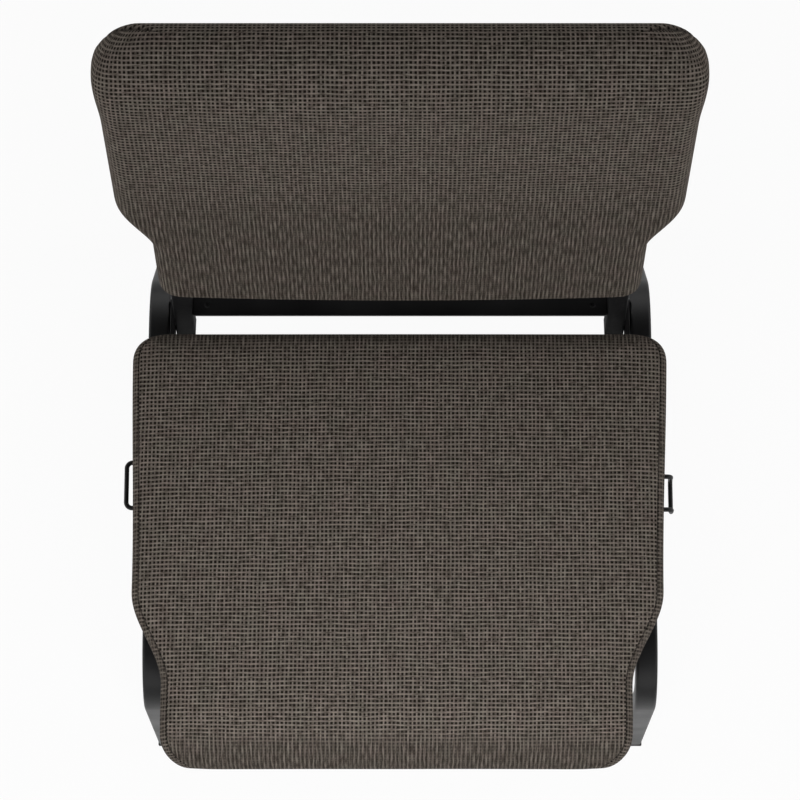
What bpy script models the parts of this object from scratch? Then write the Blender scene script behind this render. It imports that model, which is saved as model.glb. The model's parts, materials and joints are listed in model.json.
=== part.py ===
"""Stacking church chair: square-tube steel frame with an upholstered seat and back.

Metres, +Z up. The chair faces -Y and stands on the floor at Z = 0, with the origin
under the middle of its outline.
"""

import math

import bmesh
import bpy
from mathutils import Matrix, Vector

# Gaps between pieces
CLEARANCE = 0.0003
COVER_FIT = 0.0006
HOLE_FIT = 0.0003

# Side frames: one bent tube each, front leg, seat rail and rear leg
TUBE = 0.022
TUBE_WALL = 0.0015
TUBE_CORNER = 0.003
FRAME_WIDTH = 0.5225
SIDE_LEAN = math.radians(2.3)
BEND_RADIUS = 0.060
FRONT_FOOT_Y = -0.271
REAR_FOOT_Y = 0.324
FRONT_LEG_LEAN = math.radians(2.4)
REAR_LEG_LEAN = math.radians(25.0)

# Glides that plug the leg ends
GLIDE_HEIGHT = 0.008
GLIDE_RIM = 0.0006
GLIDE_PLUG = 0.022

# Tubes across the frame
CROSS_TUBE = 0.020
CROSS_TUBE_WALL = 0.0015
CROSS_TUBE_CORNER = 0.0025
FRONT_CROSS_Y = -0.160
REAR_CROSS_Y = 0.050

# Back uprights, spaced off the rails by welded plates
UPRIGHT = 0.020
UPRIGHT_DROP = 0.062
SPACER = 0.0046
SPACER_LENGTH = 0.040
SPACER_HEIGHT = 0.018
PLUG_HEAD = 0.003
PLUG_DEPTH = 0.012
UPPER_TUBE_DROP = 0.028

# Flat bar between the uprights, behind the seat
BAR_RISE = 0.020
BAR_THICKNESS = 0.004
BAR_DEPTH = 0.022
BAR_HOLE = 0.0058
BAR_HOLE_INSET = 0.0147

# Ganging wires on the rails
WIRE = 0.0048
WIRE_BEND = 0.006
WIRE_LIFT = 0.004
LOOP_Y = -0.045
LOOP_LENGTH = 0.052
LOOP_REACH = 0.022
HOOK_Y = -0.053
HOOK_LENGTH = 0.039
HOOK_REACH = 0.020
HOOK_DROP = 0.020

# Stacking bumpers under the rails
BUMPER_LENGTH = 0.030
BUMPER_WIDTH = 0.014
BUMPER_HEIGHT = 0.006
BUMPER_EDGE = 0.002
BUMPER_PLACES = {"front": -0.120, "rear": 0.060}

# Upholstery layers
COVER = 0.0014
DUST_COVER = 0.0006
BOARD = 0.012
BACK_FOAM = 0.030
REAR_PANEL = 0.0035

# Seat pad
SEAT_REAR_Y = 0.100
SEAT_DEPTH = 0.436
SEAT_OVERHANG = 0.00975
NOTCH_DEPTH = 0.039
SEAT_HEIGHT = 0.448
SEAT_THICKNESS = 0.076
SEAT_PITCH = math.radians(2.5)
SEAT_DRAW = 0.007
SEAT_CROWN = 0.007
NOTCH_START = 0.171
NOTCH_LENGTH = 0.092
FRONT_ROLL = 0.055
FRONT_UNDER = 0.032
FRONT_NOSE = 0.005
REAR_ROLL = 0.018
SIDE_ROLL = 0.015
SIDE_TUCK = 0.004
SIDE_BELLY = 0.4
SIDE_ROLL_SHARE = 0.55
LOWER_EDGE = 0.004
LOWER_EDGE_SHARE = 0.25
SEAT_FRONT_CORNER = 0.034
SEAT_REAR_CORNER = 0.028
COVER_TURN_IN = 0.030
DUST_MARGIN = 0.012
BOARD_MARGIN = 0.006

# Back pad, in its own reclined frame: height along the pad, depth from its front face
BACK_RECLINE = math.radians(16.42)
BACK_FOOT_Y = 0.1129
BACK_GAP = 0.047
BACK_HEIGHT = 0.380
BACK_OVERHANG = 0.01025
BACK_LOWER_MARGIN = 0.0068
BACK_DEPTH = 0.0706
BACK_TOP_DEPTH = 0.078
BACK_CROWN = 0.005
BACK_STEP_START = 0.077
BACK_STEP_LENGTH = 0.082
BACK_TOP_ROLL = 0.057
BACK_REAR_ROLL = 0.035
BACK_TOP_CORNER = 0.034
BACK_FOOT_ROLL = 0.012
BACK_FOOT_CORNER = 0.020
BACK_SIDE_ROUND = 0.032
BACK_WIDEST = 0.040
BACK_REAR_ROUND = 0.012
BACK_TOP_ROUND = 0.032
BACK_TOP_BLEND = 0.025
BACK_SIDE_TUCK = 0.002
BACK_BOARD_RISE = 0.002
BACK_BOARD_MARGIN = 0.003

# Screws and threaded inserts
SCREW = 0.006
SCREW_HEAD = 0.011
SCREW_HEAD_HEIGHT = 0.003
SCREW_HEAD_FACE = 0.0088
SCREW_BITE = 0.009
SCREW_TIP = 0.0042
SCREW_POINT = 0.0015
HEAD_FIT = 0.0006
INSERT = 0.0095
INSERT_HEIGHT = 0.0105
SEAT_SCREW_SPAN = 0.300
LOWER_SCREW_HEIGHT = 0.170
UPPER_SCREW_DROP = 0.056

# How finely round shapes are divided, in steps or in degrees of turn
BEND_STEPS = 8
CORNER_STEPS = 2
TURN_STEPS = 10
CROWN_STEPS = 4
NOTCH_STEPS = 8
PLAN_STEPS = 3
OUTLINE_STEPS = 24
PLAN_CORNER_STEPS = 4
FRONT_ROLL_TURNS = (84, 68, 52, 36, 20)
REAR_ROLL_TURNS = (35, 62, 84)
SIDE_TURNS = (30, 60, 90)
REAR_EDGE_TURNS = (0, 45, 90)
FOOT_TURNS = (80, 45, 0)
TOP_TURNS = (0, 20, 38, 56, 76)
BACK_FACE_STOPS = (0.4, 0.75, 1.0)
SHARP_TURN = 35
WELD = 1e-6
PAST_ALL = 1.0

SIDES = {"left": -1, "right": 1}

# Places worked out from the driving sizes
RAIL_TOP = SEAT_HEIGHT - SEAT_THICKNESS
BAR_TOP = RAIL_TOP + BAR_RISE
BACK_FOOT_Z = SEAT_HEIGHT + BACK_GAP
HALF_TUBE = TUBE / 2
LEAN_REACH = HALF_TUBE * (math.cos(SIDE_LEAN) + math.sin(SIDE_LEAN))
RAIL_X = FRAME_WIDTH / 2 - LEAN_REACH
RAIL_Z = RAIL_TOP - LEAN_REACH
RAIL_INNER_X = RAIL_X - LEAN_REACH
LEG_RUN = RAIL_Z / math.cos(SIDE_LEAN)
FOOT_X = RAIL_X + RAIL_Z * math.tan(SIDE_LEAN)
UPRIGHT_OUTER = RAIL_INNER_X - SPACER - 2 * CLEARANCE
UPRIGHT_X = UPRIGHT_OUTER - UPRIGHT / 2
UPRIGHT_INNER = UPRIGHT_OUTER - UPRIGHT
UPRIGHT_TOP = BACK_HEIGHT - UPRIGHT_DROP
UPPER_TUBE_HEIGHT = UPRIGHT_TOP - UPPER_TUBE_DROP
UPRIGHT_FRONT = COVER + COVER_FIT + BACK_FOAM + BOARD + 2 * CLEARANCE
BACK_BOARD_FRONT = UPRIGHT_FRONT - CLEARANCE - BOARD
UPRIGHT_REAR = UPRIGHT_FRONT + UPRIGHT
CROSS_Z = RAIL_TOP - CROSS_TUBE / 2
DUST_Z = RAIL_TOP + CLEARANCE
SEAT_BASE = DUST_Z + DUST_COVER + CLEARANCE
SEAT_BOARD_Z = SEAT_BASE + COVER + CLEARANCE
SEAT_HALF_WIDTH = FRAME_WIDTH / 2 + SEAT_OVERHANG
SEAT_FRONT_Y = SEAT_REAR_Y - SEAT_DEPTH
FRONT_ROLL_Y = SEAT_FRONT_Y + FRONT_ROLL
FRONT_TOP = SEAT_HEIGHT - FRONT_ROLL_Y * math.tan(SEAT_PITCH)
FRONT_DROP = FRONT_TOP - SEAT_BASE - FRONT_UNDER - FRONT_NOSE
NOTCH_Y = SEAT_FRONT_Y + NOTCH_START
BACK_HALF_WIDTH = FRAME_WIDTH / 2 + BACK_OVERHANG
BACK_LOWER_HALF_WIDTH = UPRIGHT_OUTER + BACK_LOWER_MARGIN
BACK_FRONT_CENTRE = BACK_HEIGHT - BACK_REAR_ROLL
BACK_ROUND_START = BACK_FRONT_CENTRE - BACK_TOP_BLEND
BACK_BOARD_TOP = UPRIGHT_TOP + BACK_BOARD_RISE
BACK_SCREW_HEIGHTS = {"lower": LOWER_SCREW_HEIGHT, "upper": UPRIGHT_TOP - UPPER_SCREW_DROP}
SCREW_HOLE = SCREW + 2 * HOLE_FIT


def smooth_step(t):
    """0 before 0, 1 after 1, with an S-curve between."""
    t = min(max(t, 0.0), 1.0)
    return t * t * (3 - 2 * t)


def corner_loss(distance, radius):
    """How far a rounded plan corner stands in from the straight edge, this far from the end."""
    if distance >= radius:
        return 0.0
    return radius - math.sqrt(max(radius**2 - (radius - distance) ** 2, 0.0))


def make_material(name, colour, roughness, metallic=0.0):
    material = bpy.data.materials.new(name)
    material.use_nodes = True
    shader = material.node_tree.nodes["Principled BSDF"]
    shader.inputs["Base Color"].default_value = (*colour, 1.0)
    shader.inputs["Roughness"].default_value = roughness
    shader.inputs["Metallic"].default_value = metallic
    material.diffuse_color = (*colour, 1.0)
    return material


def clear_scene():
    for obj in list(bpy.data.objects):
        bpy.data.objects.remove(obj, do_unlink=True)


clear_scene()
CHAIR = bpy.data.collections.new("church_chair")
CUTTERS = bpy.data.collections.new("cutters")
bpy.context.scene.collection.children.link(CHAIR)
bpy.context.scene.collection.children.link(CUTTERS)

POWDER_COAT = make_material("black powder coat", (0.012, 0.012, 0.012), 0.32)
FABRIC = make_material("woven taupe fabric", (0.075, 0.063, 0.053), 0.9)
FOAM = make_material("cream foam", (0.72, 0.66, 0.48), 0.95)
PLYWOOD = make_material("plywood", (0.45, 0.30, 0.17), 0.7)
FIBREBOARD = make_material("fibreboard", (0.22, 0.14, 0.08), 0.8)
DUST_CLOTH = make_material("black dust cloth", (0.015, 0.015, 0.015), 0.95)
BLACK_PLASTIC = make_material("black plastic", (0.02, 0.02, 0.02), 0.5)
ZINC = make_material("zinc-plated steel", (0.55, 0.55, 0.53), 0.35, 1.0)


def add_object(name, data, material, parent=None, place=None):
    """A part of the chair, placed in its parent's frame or in the world."""
    obj = bpy.data.objects.new(name, data)
    CHAIR.objects.link(obj)
    if material:
        data.materials.append(material)
    obj.parent = parent
    if place is not None:
        obj.matrix_basis = place
    return obj


def add_frame(name, place):
    """An empty that carries the pieces built in its frame."""
    empty = bpy.data.objects.new(name, None)
    CHAIR.objects.link(empty)
    empty.matrix_basis = place
    bpy.context.view_layer.update()
    return empty


def shade(mesh):
    mesh.shade_smooth()
    mesh.set_sharp_from_angle(angle=math.radians(SHARP_TURN))


def mesh_from(builder):
    """A mesh from a bmesh that is then freed, with its faces turned outwards."""
    bmesh.ops.recalc_face_normals(builder, faces=builder.faces)
    mesh = bpy.data.meshes.new("shape")
    builder.to_mesh(mesh)
    builder.free()
    return mesh


def box_mesh(low, high):
    """A box between two corners."""
    builder = bmesh.new()
    bmesh.ops.create_cube(builder, size=1.0)
    low, high = Vector(low), Vector(high)
    bmesh.ops.scale(builder, vec=high - low, verts=builder.verts)
    bmesh.ops.translate(builder, vec=(low + high) / 2, verts=builder.verts)
    return mesh_from(builder)


def stem_mesh(half, low, high, chamfer):
    """A square stem along Z with chamfered sides, which fits in a tube."""
    builder = bmesh.new()
    builder.from_mesh(box_mesh((-half, -half, low), (half, half, high)))
    sides = [e for e in builder.edges if abs(e.verts[0].co.z - e.verts[1].co.z) > (high - low) / 2]
    bmesh.ops.bevel(builder, geom=sides, offset=chamfer, segments=1, affect="EDGES")
    return mesh_from(builder)


def rod_mesh(diameter, low, high):
    """An upright rod along Z."""
    builder = bmesh.new()
    bmesh.ops.create_cone(
        builder,
        cap_ends=True,
        segments=TURN_STEPS,
        radius1=diameter / 2,
        radius2=diameter / 2,
        depth=high - low,
        matrix=Matrix.Translation((0, 0, (low + high) / 2)),
    )
    return mesh_from(builder)


def combine(target, operation, mesh, place):
    """Cuts target with a shape, keeps what they share, or joins the shape to it."""
    tool = bpy.data.objects.new(f"{target.name} {operation.lower()}", mesh)
    CUTTERS.objects.link(tool)
    tool.matrix_basis = place
    tool.hide_render = True
    tool.display_type = "WIRE"
    modifier = target.modifiers.new(operation.lower(), "BOOLEAN")
    modifier.operation = operation
    modifier.object = tool


def fillet_path(corners, radius, steps):
    """The corners of a path, with each inner one turned into an arc of this radius."""
    points = [corners[0]]
    for before, corner, after in zip(corners, corners[1:], corners[2:]):
        back = (before - corner).normalized()
        ahead = (after - corner).normalized()
        half = back.angle(ahead) / 2
        centre = corner + (back + ahead).normalized() * radius / math.sin(half)
        start = corner + back * radius / math.tan(half) - centre
        axis = ahead.cross(back)
        turn = math.pi - 2 * half
        for k in range(steps + 1):
            points.append(centre + Matrix.Rotation(turn * k / steps, 3, axis) @ start)
    points.append(corners[-1])
    return points


def poly_curve(points, cyclic=False, dimensions="3D"):
    curve = bpy.data.curves.new("path", "CURVE")
    curve.dimensions = dimensions
    add_spline(curve, points, cyclic)
    return curve


def add_spline(curve, points, cyclic):
    spline = curve.splines.new("POLY")
    spline.points.add(len(points) - 1)
    for place, point in zip(spline.points, points):
        place.co = (*point, 1.0)
    spline.use_cyclic_u = cyclic


def rounded_square(side, radius):
    """The outline of a tube, counter-clockwise."""
    reach = side / 2 - radius
    points = []
    for corner in range(4):
        middle = Matrix.Rotation(corner * math.pi / 2, 2) @ Vector((reach, reach))
        for k in range(CORNER_STEPS + 1):
            angle = (corner + k / CORNER_STEPS) * math.pi / 2
            point = middle + radius * Vector((math.cos(angle), math.sin(angle)))
            points.append((point.x, point.y, 0.0))
    return points


def mesh_of_curve(curve):
    """The surface of a curve as a mesh, with its loose caps welded on."""
    holder = bpy.data.objects.new("curve", curve)
    CUTTERS.objects.link(holder)
    graph = bpy.context.evaluated_depsgraph_get()
    mesh = bpy.data.meshes.new_from_object(holder.evaluated_get(graph))
    bpy.data.objects.remove(holder)
    builder = bmesh.new()
    builder.from_mesh(mesh)
    bmesh.ops.remove_doubles(builder, verts=builder.verts, dist=WELD)
    bpy.data.meshes.remove(mesh)
    return mesh_from(builder)


def square_tube(name, path, side, wall, corner, parent=None, place=None):
    """A hollow square tube along a path that lies in the YZ plane."""
    outline = bpy.data.objects.new(
        f"{name} section", poly_curve(rounded_square(side, corner), True, "2D")
    )
    CUTTERS.objects.link(outline)
    curve = poly_curve(path)
    curve.bevel_mode = "OBJECT"
    curve.bevel_object = outline
    mesh = mesh_of_curve(curve)
    bpy.data.objects.remove(outline)
    shade(mesh)
    tube = add_object(name, mesh, POWDER_COAT, parent, place)
    shell = tube.modifiers.new("wall", "SOLIDIFY")
    shell.thickness = wall
    shell.offset = -1.0
    shell.use_even_offset = True
    return tube


def cross_tube(name, path, parent, place):
    return square_tube(name, path, CROSS_TUBE, CROSS_TUBE_WALL, CROSS_TUBE_CORNER, parent, place)


def wire(name, corners, parent):
    """A round wire, bent at the inner corners of its path."""
    curve = poly_curve(fillet_path(corners, WIRE_BEND, BEND_STEPS // 2))
    curve.bevel_depth = WIRE / 2
    curve.bevel_resolution = 2
    curve.use_fill_caps = True
    mesh = mesh_of_curve(curve)
    shade(mesh)
    return add_object(name, mesh, POWDER_COAT, parent)


def circle(x, y, diameter):
    """The points of a hole in a flat sheet."""
    turns = [2 * math.pi * k / TURN_STEPS for k in range(TURN_STEPS)]
    return [(x + diameter / 2 * math.cos(a), y + diameter / 2 * math.sin(a), 0) for a in turns]


def sheet(name, outline, holes, thickness, material, parent=None, place=None):
    """A flat sheet of this outline with round holes, its low face at Z = 0 of its place."""
    curve = poly_curve(outline, True, "2D")
    for hole in holes:
        add_spline(curve, circle(*hole), True)
    curve.fill_mode = "BOTH"
    curve.extrude = thickness / 2
    lift = Matrix.Translation((0, 0, thickness / 2))
    mesh = mesh_of_curve(curve)
    return add_object(name, mesh, material, parent, (place or Matrix()) @ lift)


def turned(name, profile, closed, material, parent, place):
    """A profile of radius and height turned about Z."""
    builder = bmesh.new()
    verts = [builder.verts.new((radius, 0, height)) for radius, height in profile]
    ends = verts[1:] + verts[:1] if closed else verts[1:]
    for a, b in zip(verts, ends):
        builder.edges.new((a, b))
    mesh = bpy.data.meshes.new("profile")
    builder.to_mesh(mesh)
    builder.free()
    obj = add_object(name, mesh, material, parent, place)
    screw = obj.modifiers.new("turn", "SCREW")
    screw.steps = TURN_STEPS
    screw.render_steps = TURN_STEPS
    screw.use_merge_vertices = True
    screw.merge_threshold = WELD
    screw.use_smooth_shade = False
    return obj


def loft(rings):
    """A closed body through rings of equal count."""
    builder = bmesh.new()
    rows = [[builder.verts.new(point) for point in ring] for ring in rings]
    count = len(rows[0])
    for low, high in zip(rows, rows[1:]):
        for k in range(count):
            after = (k + 1) % count
            builder.faces.new((low[k], low[after], high[after], high[k]))
    builder.faces.new(rows[0])
    builder.faces.new(rows[-1])
    mesh = mesh_from(builder)
    shade(mesh)
    return mesh


def seat_half_width(y):
    """Half the seat's width in plan: drawn in a little, then notched to clear the front legs."""
    drawn = SEAT_DRAW * smooth_step((SEAT_REAR_Y - y) / (SEAT_REAR_Y - NOTCH_Y))
    wide = SEAT_HALF_WIDTH - drawn
    step = smooth_step((NOTCH_Y - y) / NOTCH_LENGTH)
    return wide + (SEAT_HALF_WIDTH - NOTCH_DEPTH - wide) * step


def seat_corner(y, inset):
    """What the rounded plan corners take off the half width."""
    front = corner_loss(y - SEAT_FRONT_Y - inset, SEAT_FRONT_CORNER - inset)
    rear = corner_loss(SEAT_REAR_Y - inset - y, SEAT_REAR_CORNER - inset)
    return max(front, rear)


def seat_top(y):
    return SEAT_HEIGHT - y * math.tan(SEAT_PITCH)


def plan_stops():
    """Depths where the seat's plan is divided: along the notch, then towards the rear."""
    end = max(NOTCH_Y - NOTCH_LENGTH, FRONT_ROLL_Y + NOTCH_LENGTH / NOTCH_STEPS)
    notch = [end + (NOTCH_Y - end) * k / NOTCH_STEPS for k in range(NOTCH_STEPS + 1)]
    run = SEAT_REAR_Y - max(SEAT_REAR_CORNER, REAR_ROLL + LOWER_EDGE) - NOTCH_Y
    return notch + [NOTCH_Y + run * k / PLAN_STEPS for k in range(1, PLAN_STEPS + 1)]


def seat_stations(inset):
    """Depth, top, rise of the underside and share of the crown at each section, front to rear."""
    front_top = FRONT_TOP - FRONT_DROP
    rear_y = SEAT_REAR_Y - REAR_ROLL
    rear_top = seat_top(rear_y) - REAR_ROLL
    for angle in FRONT_ROLL_TURNS:
        turn = math.radians(angle)
        y = FRONT_ROLL_Y - (FRONT_ROLL - inset) * math.sin(turn)
        top = front_top + (FRONT_DROP - inset) * math.cos(turn)
        rise = (FRONT_UNDER - inset) * (1 - math.cos(turn))
        yield y, top, rise, math.cos(turn)
    for y in [FRONT_ROLL_Y, *plan_stops(), rear_y]:
        yield y, seat_top(y) - inset, 0.0, 1.0
    for angle in REAR_ROLL_TURNS:
        turn = math.radians(angle)
        y = rear_y + (REAR_ROLL - inset) * math.sin(turn)
        yield y, rear_top + (REAR_ROLL - inset) * math.cos(turn), 0.0, math.cos(turn)


def seat_ring(y, low, high, crown, inset):
    """One section across the seat: crowned top, rolled sides tucked in below."""
    half = seat_half_width(y) - seat_corner(y, inset) - inset
    height = high - low
    roll = min(SIDE_ROLL - inset, SIDE_ROLL_SHARE * height)
    edge = min(LOWER_EDGE, LOWER_EDGE_SHARE * height)
    flat = half - roll
    across = [flat * k / CROWN_STEPS for k in range(CROWN_STEPS + 1)]
    right = [(x, high - crown * (x / half) ** 2) for x in across]
    shoulder = right[-1][1]
    for angle in SIDE_TURNS:
        turn = math.radians(angle)
        right.append((flat + roll * math.sin(turn), shoulder - roll * (1 - math.cos(turn))))
    foot = half - SIDE_TUCK
    right.append((half - SIDE_TUCK * SIDE_BELLY, (low + edge + right[-1][1]) / 2))
    cut = edge * (1 - math.cos(math.pi / 4))
    right += [(foot, low + edge), (foot - cut, low + cut), (foot - edge, low)]
    left = [(-x, z) for x, z in reversed(right[1:])]
    return [(x, y, z) for x, z in right + left]


def seat_body(inset, base):
    """The seat's outer form, shrunk by an inset, with a flat underside at this height."""
    rings = []
    for y, top, rise, level in seat_stations(inset):
        low = max(base, SEAT_BASE + inset + rise)
        rings.append(seat_ring(y, low, top, SEAT_CROWN * level, inset))
    return loft(rings)


def seat_outline(margin, front, rear):
    """The seat's plan between two depths, drawn in by a margin, as a closed outline."""
    corner = SEAT_REAR_CORNER
    quarter = [k * math.pi / 2 / PLAN_CORNER_STEPS for k in range(PLAN_CORNER_STEPS + 1)]
    turns = [corner * (1 - math.cos(angle)) for angle in quarter]
    stops = [front + turn for turn in turns]
    stops += [y for y in plan_stops() if front + corner < y < rear - corner]
    stops += [rear - turn for turn in reversed(turns)]
    right = []
    for y in stops:
        loss = corner_loss(min(y - front, rear - y), corner)
        right.append((seat_half_width(y) - margin - loss, y, 0.0))
    return right + [(-x, y, z) for x, y, z in reversed(right)]


def under_roll(depth):
    """How far behind the seat's front edge the rolled-under cover leaves this height free."""
    share = min(depth / (FRONT_UNDER - COVER), 1.0)
    return FRONT_ROLL - (FRONT_ROLL - COVER) * math.sqrt(1 - (1 - share) ** 2)


def back_half_width(height):
    """Half the back's width: narrow below, stepping out in an S to the full width."""
    step = smooth_step((height - BACK_STEP_START) / BACK_STEP_LENGTH)
    return BACK_LOWER_HALF_WIDTH + (BACK_HALF_WIDTH - BACK_LOWER_HALF_WIDTH) * step


def back_corner(height, inset):
    top = corner_loss(BACK_HEIGHT - inset - height, BACK_TOP_CORNER - inset)
    low = height - inset
    if low >= BACK_FOOT_ROLL:
        return top
    rest = 1 - max(low, 0.0) / BACK_FOOT_ROLL
    return max(top, BACK_FOOT_CORNER * (1 - math.sqrt(1 - rest**2)))


def back_depth(height):
    """The rear face's distance behind the front face, thicker towards the top."""
    return BACK_DEPTH + (BACK_TOP_DEPTH - BACK_DEPTH) * height / BACK_FRONT_CENTRE


def top_roll():
    """The two arcs over the top, wide in front and small behind.

    Gives the front arc's height, the rear arc's depth, and the share of the front
    arc's radius by which it has risen where it meets the rear one.
    """
    rear_y = BACK_TOP_DEPTH - BACK_REAR_ROLL
    apart = BACK_TOP_ROLL - BACK_REAR_ROLL
    across = min(BACK_TOP_ROLL - rear_y, apart)
    below = math.sqrt(apart**2 - across**2)
    return BACK_FRONT_CENTRE - below, rear_y, below / apart if apart else 0.0


def back_faces(height, inset):
    """Front and rear faces of the back at this height."""
    front_height, rear_y, share = top_roll()
    if height < BACK_FOOT_ROLL:
        radius = BACK_FOOT_ROLL - inset
        drop = min(BACK_FOOT_ROLL - height, radius)
        loss = radius - math.sqrt(radius**2 - drop**2)
        return inset + loss, back_depth(height) - inset - loss
    small, wide = BACK_REAR_ROLL - inset, BACK_TOP_ROLL - inset
    front, rear = inset, back_depth(height) - inset
    if height > front_height:
        front = BACK_TOP_ROLL - math.sqrt(max(wide**2 - (height - front_height) ** 2, 0.0))
    if height > BACK_FRONT_CENTRE:
        reach = math.sqrt(max(small**2 - (height - BACK_FRONT_CENTRE) ** 2, 0.0))
        rear = rear_y + reach
        if height > front_height + wide * share:
            front = rear_y - reach
    return front, rear


def back_stations(inset):
    """Heights of the back's sections, foot to top."""
    front_height, _, _ = top_roll()
    for angle in FOOT_TURNS:
        yield BACK_FOOT_ROLL - (BACK_FOOT_ROLL - inset) * math.sin(math.radians(angle))
    step_end = BACK_STEP_START + BACK_STEP_LENGTH
    for k in range(NOTCH_STEPS):
        yield BACK_STEP_START + BACK_STEP_LENGTH * k / (NOTCH_STEPS - 1)
    for share in BACK_FACE_STOPS:
        yield step_end + (front_height - step_end) * share
    yield (front_height + BACK_FRONT_CENTRE) / 2
    for angle in TOP_TURNS:
        yield BACK_FRONT_CENTRE + (BACK_REAR_ROLL - inset) * math.sin(math.radians(angle))


def back_ring(height, inset):
    """One section across the back: crowned front, round sides, flat rear."""
    front, rear = back_faces(height, inset)
    depth = rear - front
    half = back_half_width(height) - back_corner(height, inset) - inset
    thin = min(depth / BACK_DEPTH, 1.0)
    across = (BACK_SIDE_ROUND - inset) * thin
    flat = half - across
    crown = BACK_CROWN * thin
    fall = crown * (flat / half) ** 2
    widest = front + max(BACK_WIDEST * thin, fall)
    above = smooth_step((height - BACK_ROUND_START) / BACK_TOP_BLEND)
    tuck = BACK_SIDE_TUCK * thin * (1 - above)
    round_behind = BACK_REAR_ROUND + (BACK_TOP_ROUND - BACK_REAR_ROUND) * above
    edge = min((round_behind - inset) * thin, rear - widest)
    columns = [flat * k / CROWN_STEPS for k in range(CROWN_STEPS + 1)]
    right = [(x, front + crown * (x / half) ** 2) for x in columns]
    for angle in SIDE_TURNS:
        turn = math.radians(angle)
        y = widest - (widest - front - fall) * math.cos(turn)
        right.append((flat + across * math.sin(turn), y))
    for angle in REAR_EDGE_TURNS:
        turn = math.radians(angle)
        x = half - tuck - edge * (1 - math.cos(turn))
        right.append((x, rear - edge * (1 - math.sin(turn))))
    right.append((flat / 2, rear))
    left = [(-x, y) for x, y in reversed(right[1:])]
    return [(x, y, height) for x, y in right + left]


def back_body(inset):
    return loft([back_ring(height, inset) for height in back_stations(inset)])


def back_outline(margin, low, high):
    """The back's outline between two heights, drawn in by a margin, in a flat sheet's plane."""
    stops = [low + (high - low) * k / OUTLINE_STEPS for k in range(OUTLINE_STEPS + 1)]
    right = [(back_half_width(z) - back_corner(z, 0.0) - margin, z, 0.0) for z in stops]
    return right + [(-x, y, z) for x, y, z in reversed(right)]


def side_frame(side, sign):
    """The bent tube of one side, in its own leaning plane with the rail's middle as origin."""
    tip = Vector((0, 0, -LEG_RUN))
    front = Vector((0, FRONT_FOOT_Y + LEG_RUN * math.tan(FRONT_LEG_LEAN), 0))
    rear = Vector((0, REAR_FOOT_Y - LEG_RUN * math.tan(REAR_LEG_LEAN), 0))
    front_foot = tip + Vector((0, FRONT_FOOT_Y, 0))
    rear_foot = tip + Vector((0, REAR_FOOT_Y, 0))
    longer = 1 + TUBE / LEG_RUN
    corners = [front + (front_foot - front) * longer, front, rear, rear + (rear_foot - rear) * longer]
    path = fillet_path(corners, BEND_RADIUS, BEND_STEPS)
    lean = Matrix.Rotation(-sign * SIDE_LEAN, 4, "Y")
    place = Matrix.Translation((sign * RAIL_X, 0, RAIL_Z)) @ lean
    frame = square_tube(f"side_frame_{side}", path, TUBE, TUBE_WALL, TUBE_CORNER, None, place)
    below = box_mesh((-PAST_ALL, -PAST_ALL, -PAST_ALL), (PAST_ALL, PAST_ALL, GLIDE_HEIGHT))
    combine(frame, "DIFFERENCE", below, Matrix())
    return frame


def glide(name, sign, y, tilt):
    """A foot that plugs a leg: a collar under the tube, a stem in it, and a flat sole."""
    place = (
        Matrix.Translation((sign * FOOT_X, y, 0))
        @ Matrix.Rotation(-sign * SIDE_LEAN, 4, "Y")
        @ Matrix.Rotation(tilt, 4, "X")
    )
    half = HALF_TUBE + GLIDE_RIM
    reach = 2 * TUBE
    block = box_mesh((-half, -half, -reach), (half, half, reach))
    foot = add_object(name, block, BLACK_PLASTIC, None, place)
    under_tube = GLIDE_HEIGHT - CLEARANCE
    above = box_mesh((-PAST_ALL, -PAST_ALL, under_tube), (PAST_ALL, PAST_ALL, PAST_ALL))
    combine(foot, "DIFFERENCE", above, Matrix())
    bore = HALF_TUBE - TUBE_WALL - CLEARANCE
    combine(foot, "UNION", stem_mesh(bore, -TUBE, GLIDE_HEIGHT + GLIDE_PLUG, TUBE_CORNER), place)
    floor = box_mesh((-PAST_ALL, -PAST_ALL, -PAST_ALL), (PAST_ALL, PAST_ALL, 0))
    combine(foot, "DIFFERENCE", floor, Matrix())


def ganging(frames):
    """The wire loop on the left rail and the hook on the right rail that drops into a loop."""
    start = HALF_TUBE + CLEARANCE
    reach = -(HALF_TUBE + LOOP_REACH - WIRE / 2)
    ends = [LOOP_Y + s * (LOOP_LENGTH - WIRE) / 2 for s in (-1, 1)]
    corners = [(-start, ends[0]), (reach, ends[0]), (reach, ends[1]), (-start, ends[1])]
    wire("ganging_loop", [Vector((x, y, WIRE_LIFT)) for x, y in corners], frames["left"])
    reach = HALF_TUBE + HOOK_REACH - WIRE / 2
    ends = [HOOK_Y + s * (HOOK_LENGTH - WIRE) / 2 for s in (-1, 1)]
    low = WIRE_LIFT - HOOK_DROP
    path = [(start, ends[0], WIRE_LIFT), (reach, ends[0], WIRE_LIFT), (reach, ends[0], low)]
    path += [(x, ends[1], z) for x, _, z in reversed(path)]
    wire("ganging_hook", [Vector(point) for point in path], frames["right"])


def bumper(name, y, parent):
    """A moulded pad under a rail, which rests on the chair below in a stack."""
    top = -HALF_TUBE - CLEARANCE
    low = (-BUMPER_WIDTH / 2, y - BUMPER_LENGTH / 2, top - BUMPER_HEIGHT)
    high = (BUMPER_WIDTH / 2, y + BUMPER_LENGTH / 2, top)
    pad = add_object(name, box_mesh(low, high), BLACK_PLASTIC, parent)
    edge = pad.modifiers.new("edge", "BEVEL")
    edge.width = BUMPER_EDGE
    edge.segments = 1
    edge.limit_method = "ANGLE"


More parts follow.
